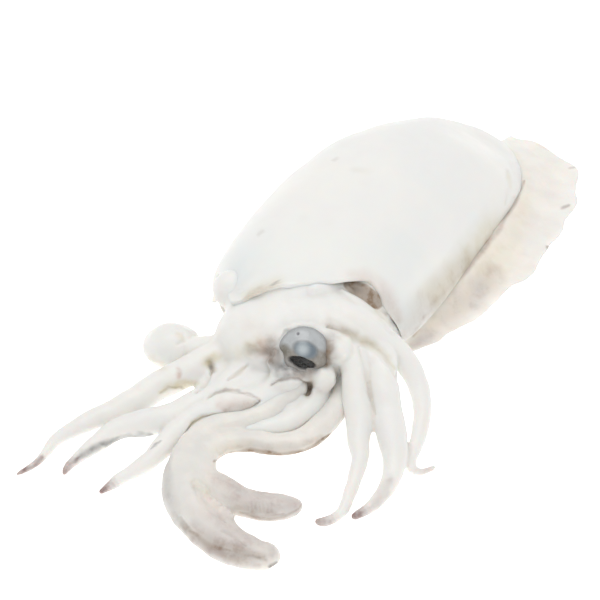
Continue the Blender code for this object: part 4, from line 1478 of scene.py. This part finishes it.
CLUB_FOLDS = {
    "keel": (-0.8, 9.0, [(180, 518), (188, 529), (199, 538), (214, 546), (236, 553), (260, 558)]),
    "lump_yellow": (0.9, 6.0, [(197, 484), (205, 491)]),
    "lump_pink": (1.0, 6.5, [(206, 499), (214, 505)]),
    "lump_pale": (1.1, 7.0, [(221, 511), (229, 516)]),
    "border": (-0.35, 4.0, [(193, 487), (201, 500), (212, 512), (226, 522)]),
    "face_wrinkle": (-0.4, 3.0, [(222, 531), (236, 536), (246, 546)]),
    "tip_knob": (0.6, 5.0, [(274, 553)]),
    **{f"rag_{i}": (0.5, 3.2, [(194 + 5 * i, 484 + 4 * i)]) for i in range(9)},
    "underside": (-0.5, 4.0, [(240, 512), (260, 517), (284, 514)]),
    **{f"rib_{i}": (-0.28, 1.6, [(247 + 4 * i, 502), (248 + 4 * i, 513)]) for i in range(7)},
}
CLUB_MARKS = {
    "keel_shade": ("brown", 0.42, 14.0, [(184, 524), (196, 536), (212, 544), (238, 552), (262, 557)]),
    # Painted shadow in the keel's groove.
    "keel_dark": ("brown", 0.7, 7.0, [(190, 531), (200, 539), (213, 546), (230, 551)]),
    "keel_end": ("brown", 0.34, 6.0, [(230, 551), (250, 556), (266, 560)]),
    "outer_edge": ("grey", 0.3, 13.0, [(169, 458), (165, 480), (167, 500), (177, 520), (192, 538)]),
    # Painted shade on the club's underside below the keel and in a band above it.
    "outer_under": ("tip", 0.34, 14.0, [(192, 540), (208, 550), (230, 559), (258, 565)]),
    "keel_mauve": ("tip", 0.26, 14.0, [(194, 524), (214, 538), (245, 546)]),
    "face_mauve": ("tip", 0.22, 26.0, [(222, 526), (244, 538), (266, 550)]),
    "face_warm": ("blush", 0.18, 26.0, [(205, 508), (240, 530)]),
    "lump_yellow": ("straw", 0.3, 8.0, [(196, 484), (206, 492)]),
    "lump_pink": ("blush", 0.28, 8.0, [(206, 499), (216, 505)]),
    "inner_edge": ("blush", 0.2, 6.0, [(244, 524), (254, 535), (268, 542)]),
    "below_keel": ("straw", 0.16, 7.0, [(226, 557), (246, 561)]),
    "tip_grey": ("grey", 0.22, 8.0, [(274, 552)]),
    "tip_dark": ("dark", 0.75, 3.6, [(270, 566), (276, 563)]),
    "second_mauve": ("tip", 0.3, 24.0, [(224, 484), (250, 504), (296, 508)]),
    "second_blush": ("blush", 0.2, 20.0, [(210, 476), (236, 494), (296, 502)]),
    "lower_tan": ("brown", 0.28, 9.0, [(235, 508), (252, 512), (274, 513)]),
    "lower_dark": ("brown", 0.45, 3.4, [(240, 514), (252, 517), (266, 520), (284, 517), (298, 510)]),
    "second_tip": ("grey", 0.3, 6.0, [(301, 499)]),
    "tip_edge": ("brown", 0.4, 2.6, [(304, 496), (304, 503), (299, 509)]),
    "upper_edge": ("tip", 0.3, 3.0, [(240, 487), (262, 493), (296, 493)]),
    # Painted shadow along the stalk's lower edge.
    "stalk_dark": (
        "brown", 0.95, 5.0,
        [(214, 462), (231, 453), (250, 450), (270, 453), (288, 455), (306, 452), (331, 433)],
    ),
    # Painted shade over the stalk's lower half.
    "stalk_tan": ("brown", 0.26, 11.0, [(222, 454), (240, 447), (270, 449), (300, 449), (322, 437)]),
    "stalk_straw": ("straw", 0.14, 10.0, [(218, 450), (250, 442)]),
}


class CUTTLEFISH_PT_panel(bpy.types.Panel):
    """Lists the pieces that can be built"""

    bl_label = "Cuttlefish"
    bl_idname = "CUTTLEFISH_PT_panel"
    bl_space_type = "VIEW_3D"
    bl_region_type = "UI"
    bl_category = "Cuttlefish"

    def draw(self, context):
        layout = self.layout
        for operator in OPERATORS:
            layout.operator(operator.bl_idname)
        for settings in ("cuttlefish_colours", "cuttlefish_sizes", "cuttlefish_stage"):
            group = getattr(context.scene, settings)
            for name in group.bl_rna.properties.keys():
                if name not in {"rna_type", "name"}:
                    layout.prop(group, name)


OPERATORS = (
    CUTTLEFISH_OT_mantle,
    CUTTLEFISH_OT_fins,
    CUTTLEFISH_OT_head_and_arms,
    CUTTLEFISH_OT_tentacles,
    CUTTLEFISH_OT_eyes,
    CUTTLEFISH_OT_stage,
)
CLASSES = (CuttlefishColours, CuttlefishSizes, StageSettings, *OPERATORS, CUTTLEFISH_PT_panel)


def register():
    for cls in CLASSES:
        bpy.utils.register_class(cls)
    bpy.types.Scene.cuttlefish_colours = PointerProperty(type=CuttlefishColours)
    bpy.types.Scene.cuttlefish_sizes = PointerProperty(type=CuttlefishSizes)
    bpy.types.Scene.cuttlefish_stage = PointerProperty(type=StageSettings)


def unregister():
    for name in ("cuttlefish_colours", "cuttlefish_sizes", "cuttlefish_stage"):
        delattr(bpy.types.Scene, name)
    for cls in reversed(CLASSES):
        bpy.utils.unregister_class(cls)


def main():
    register()
    bpy.ops.cuttlefish.mantle()
    bpy.ops.cuttlefish.fins()
    bpy.ops.cuttlefish.head_and_arms()
    bpy.ops.cuttlefish.tentacles()
    bpy.ops.cuttlefish.eyes()
    bpy.ops.cuttlefish.stage()


if __name__ == "__main__":
    main()
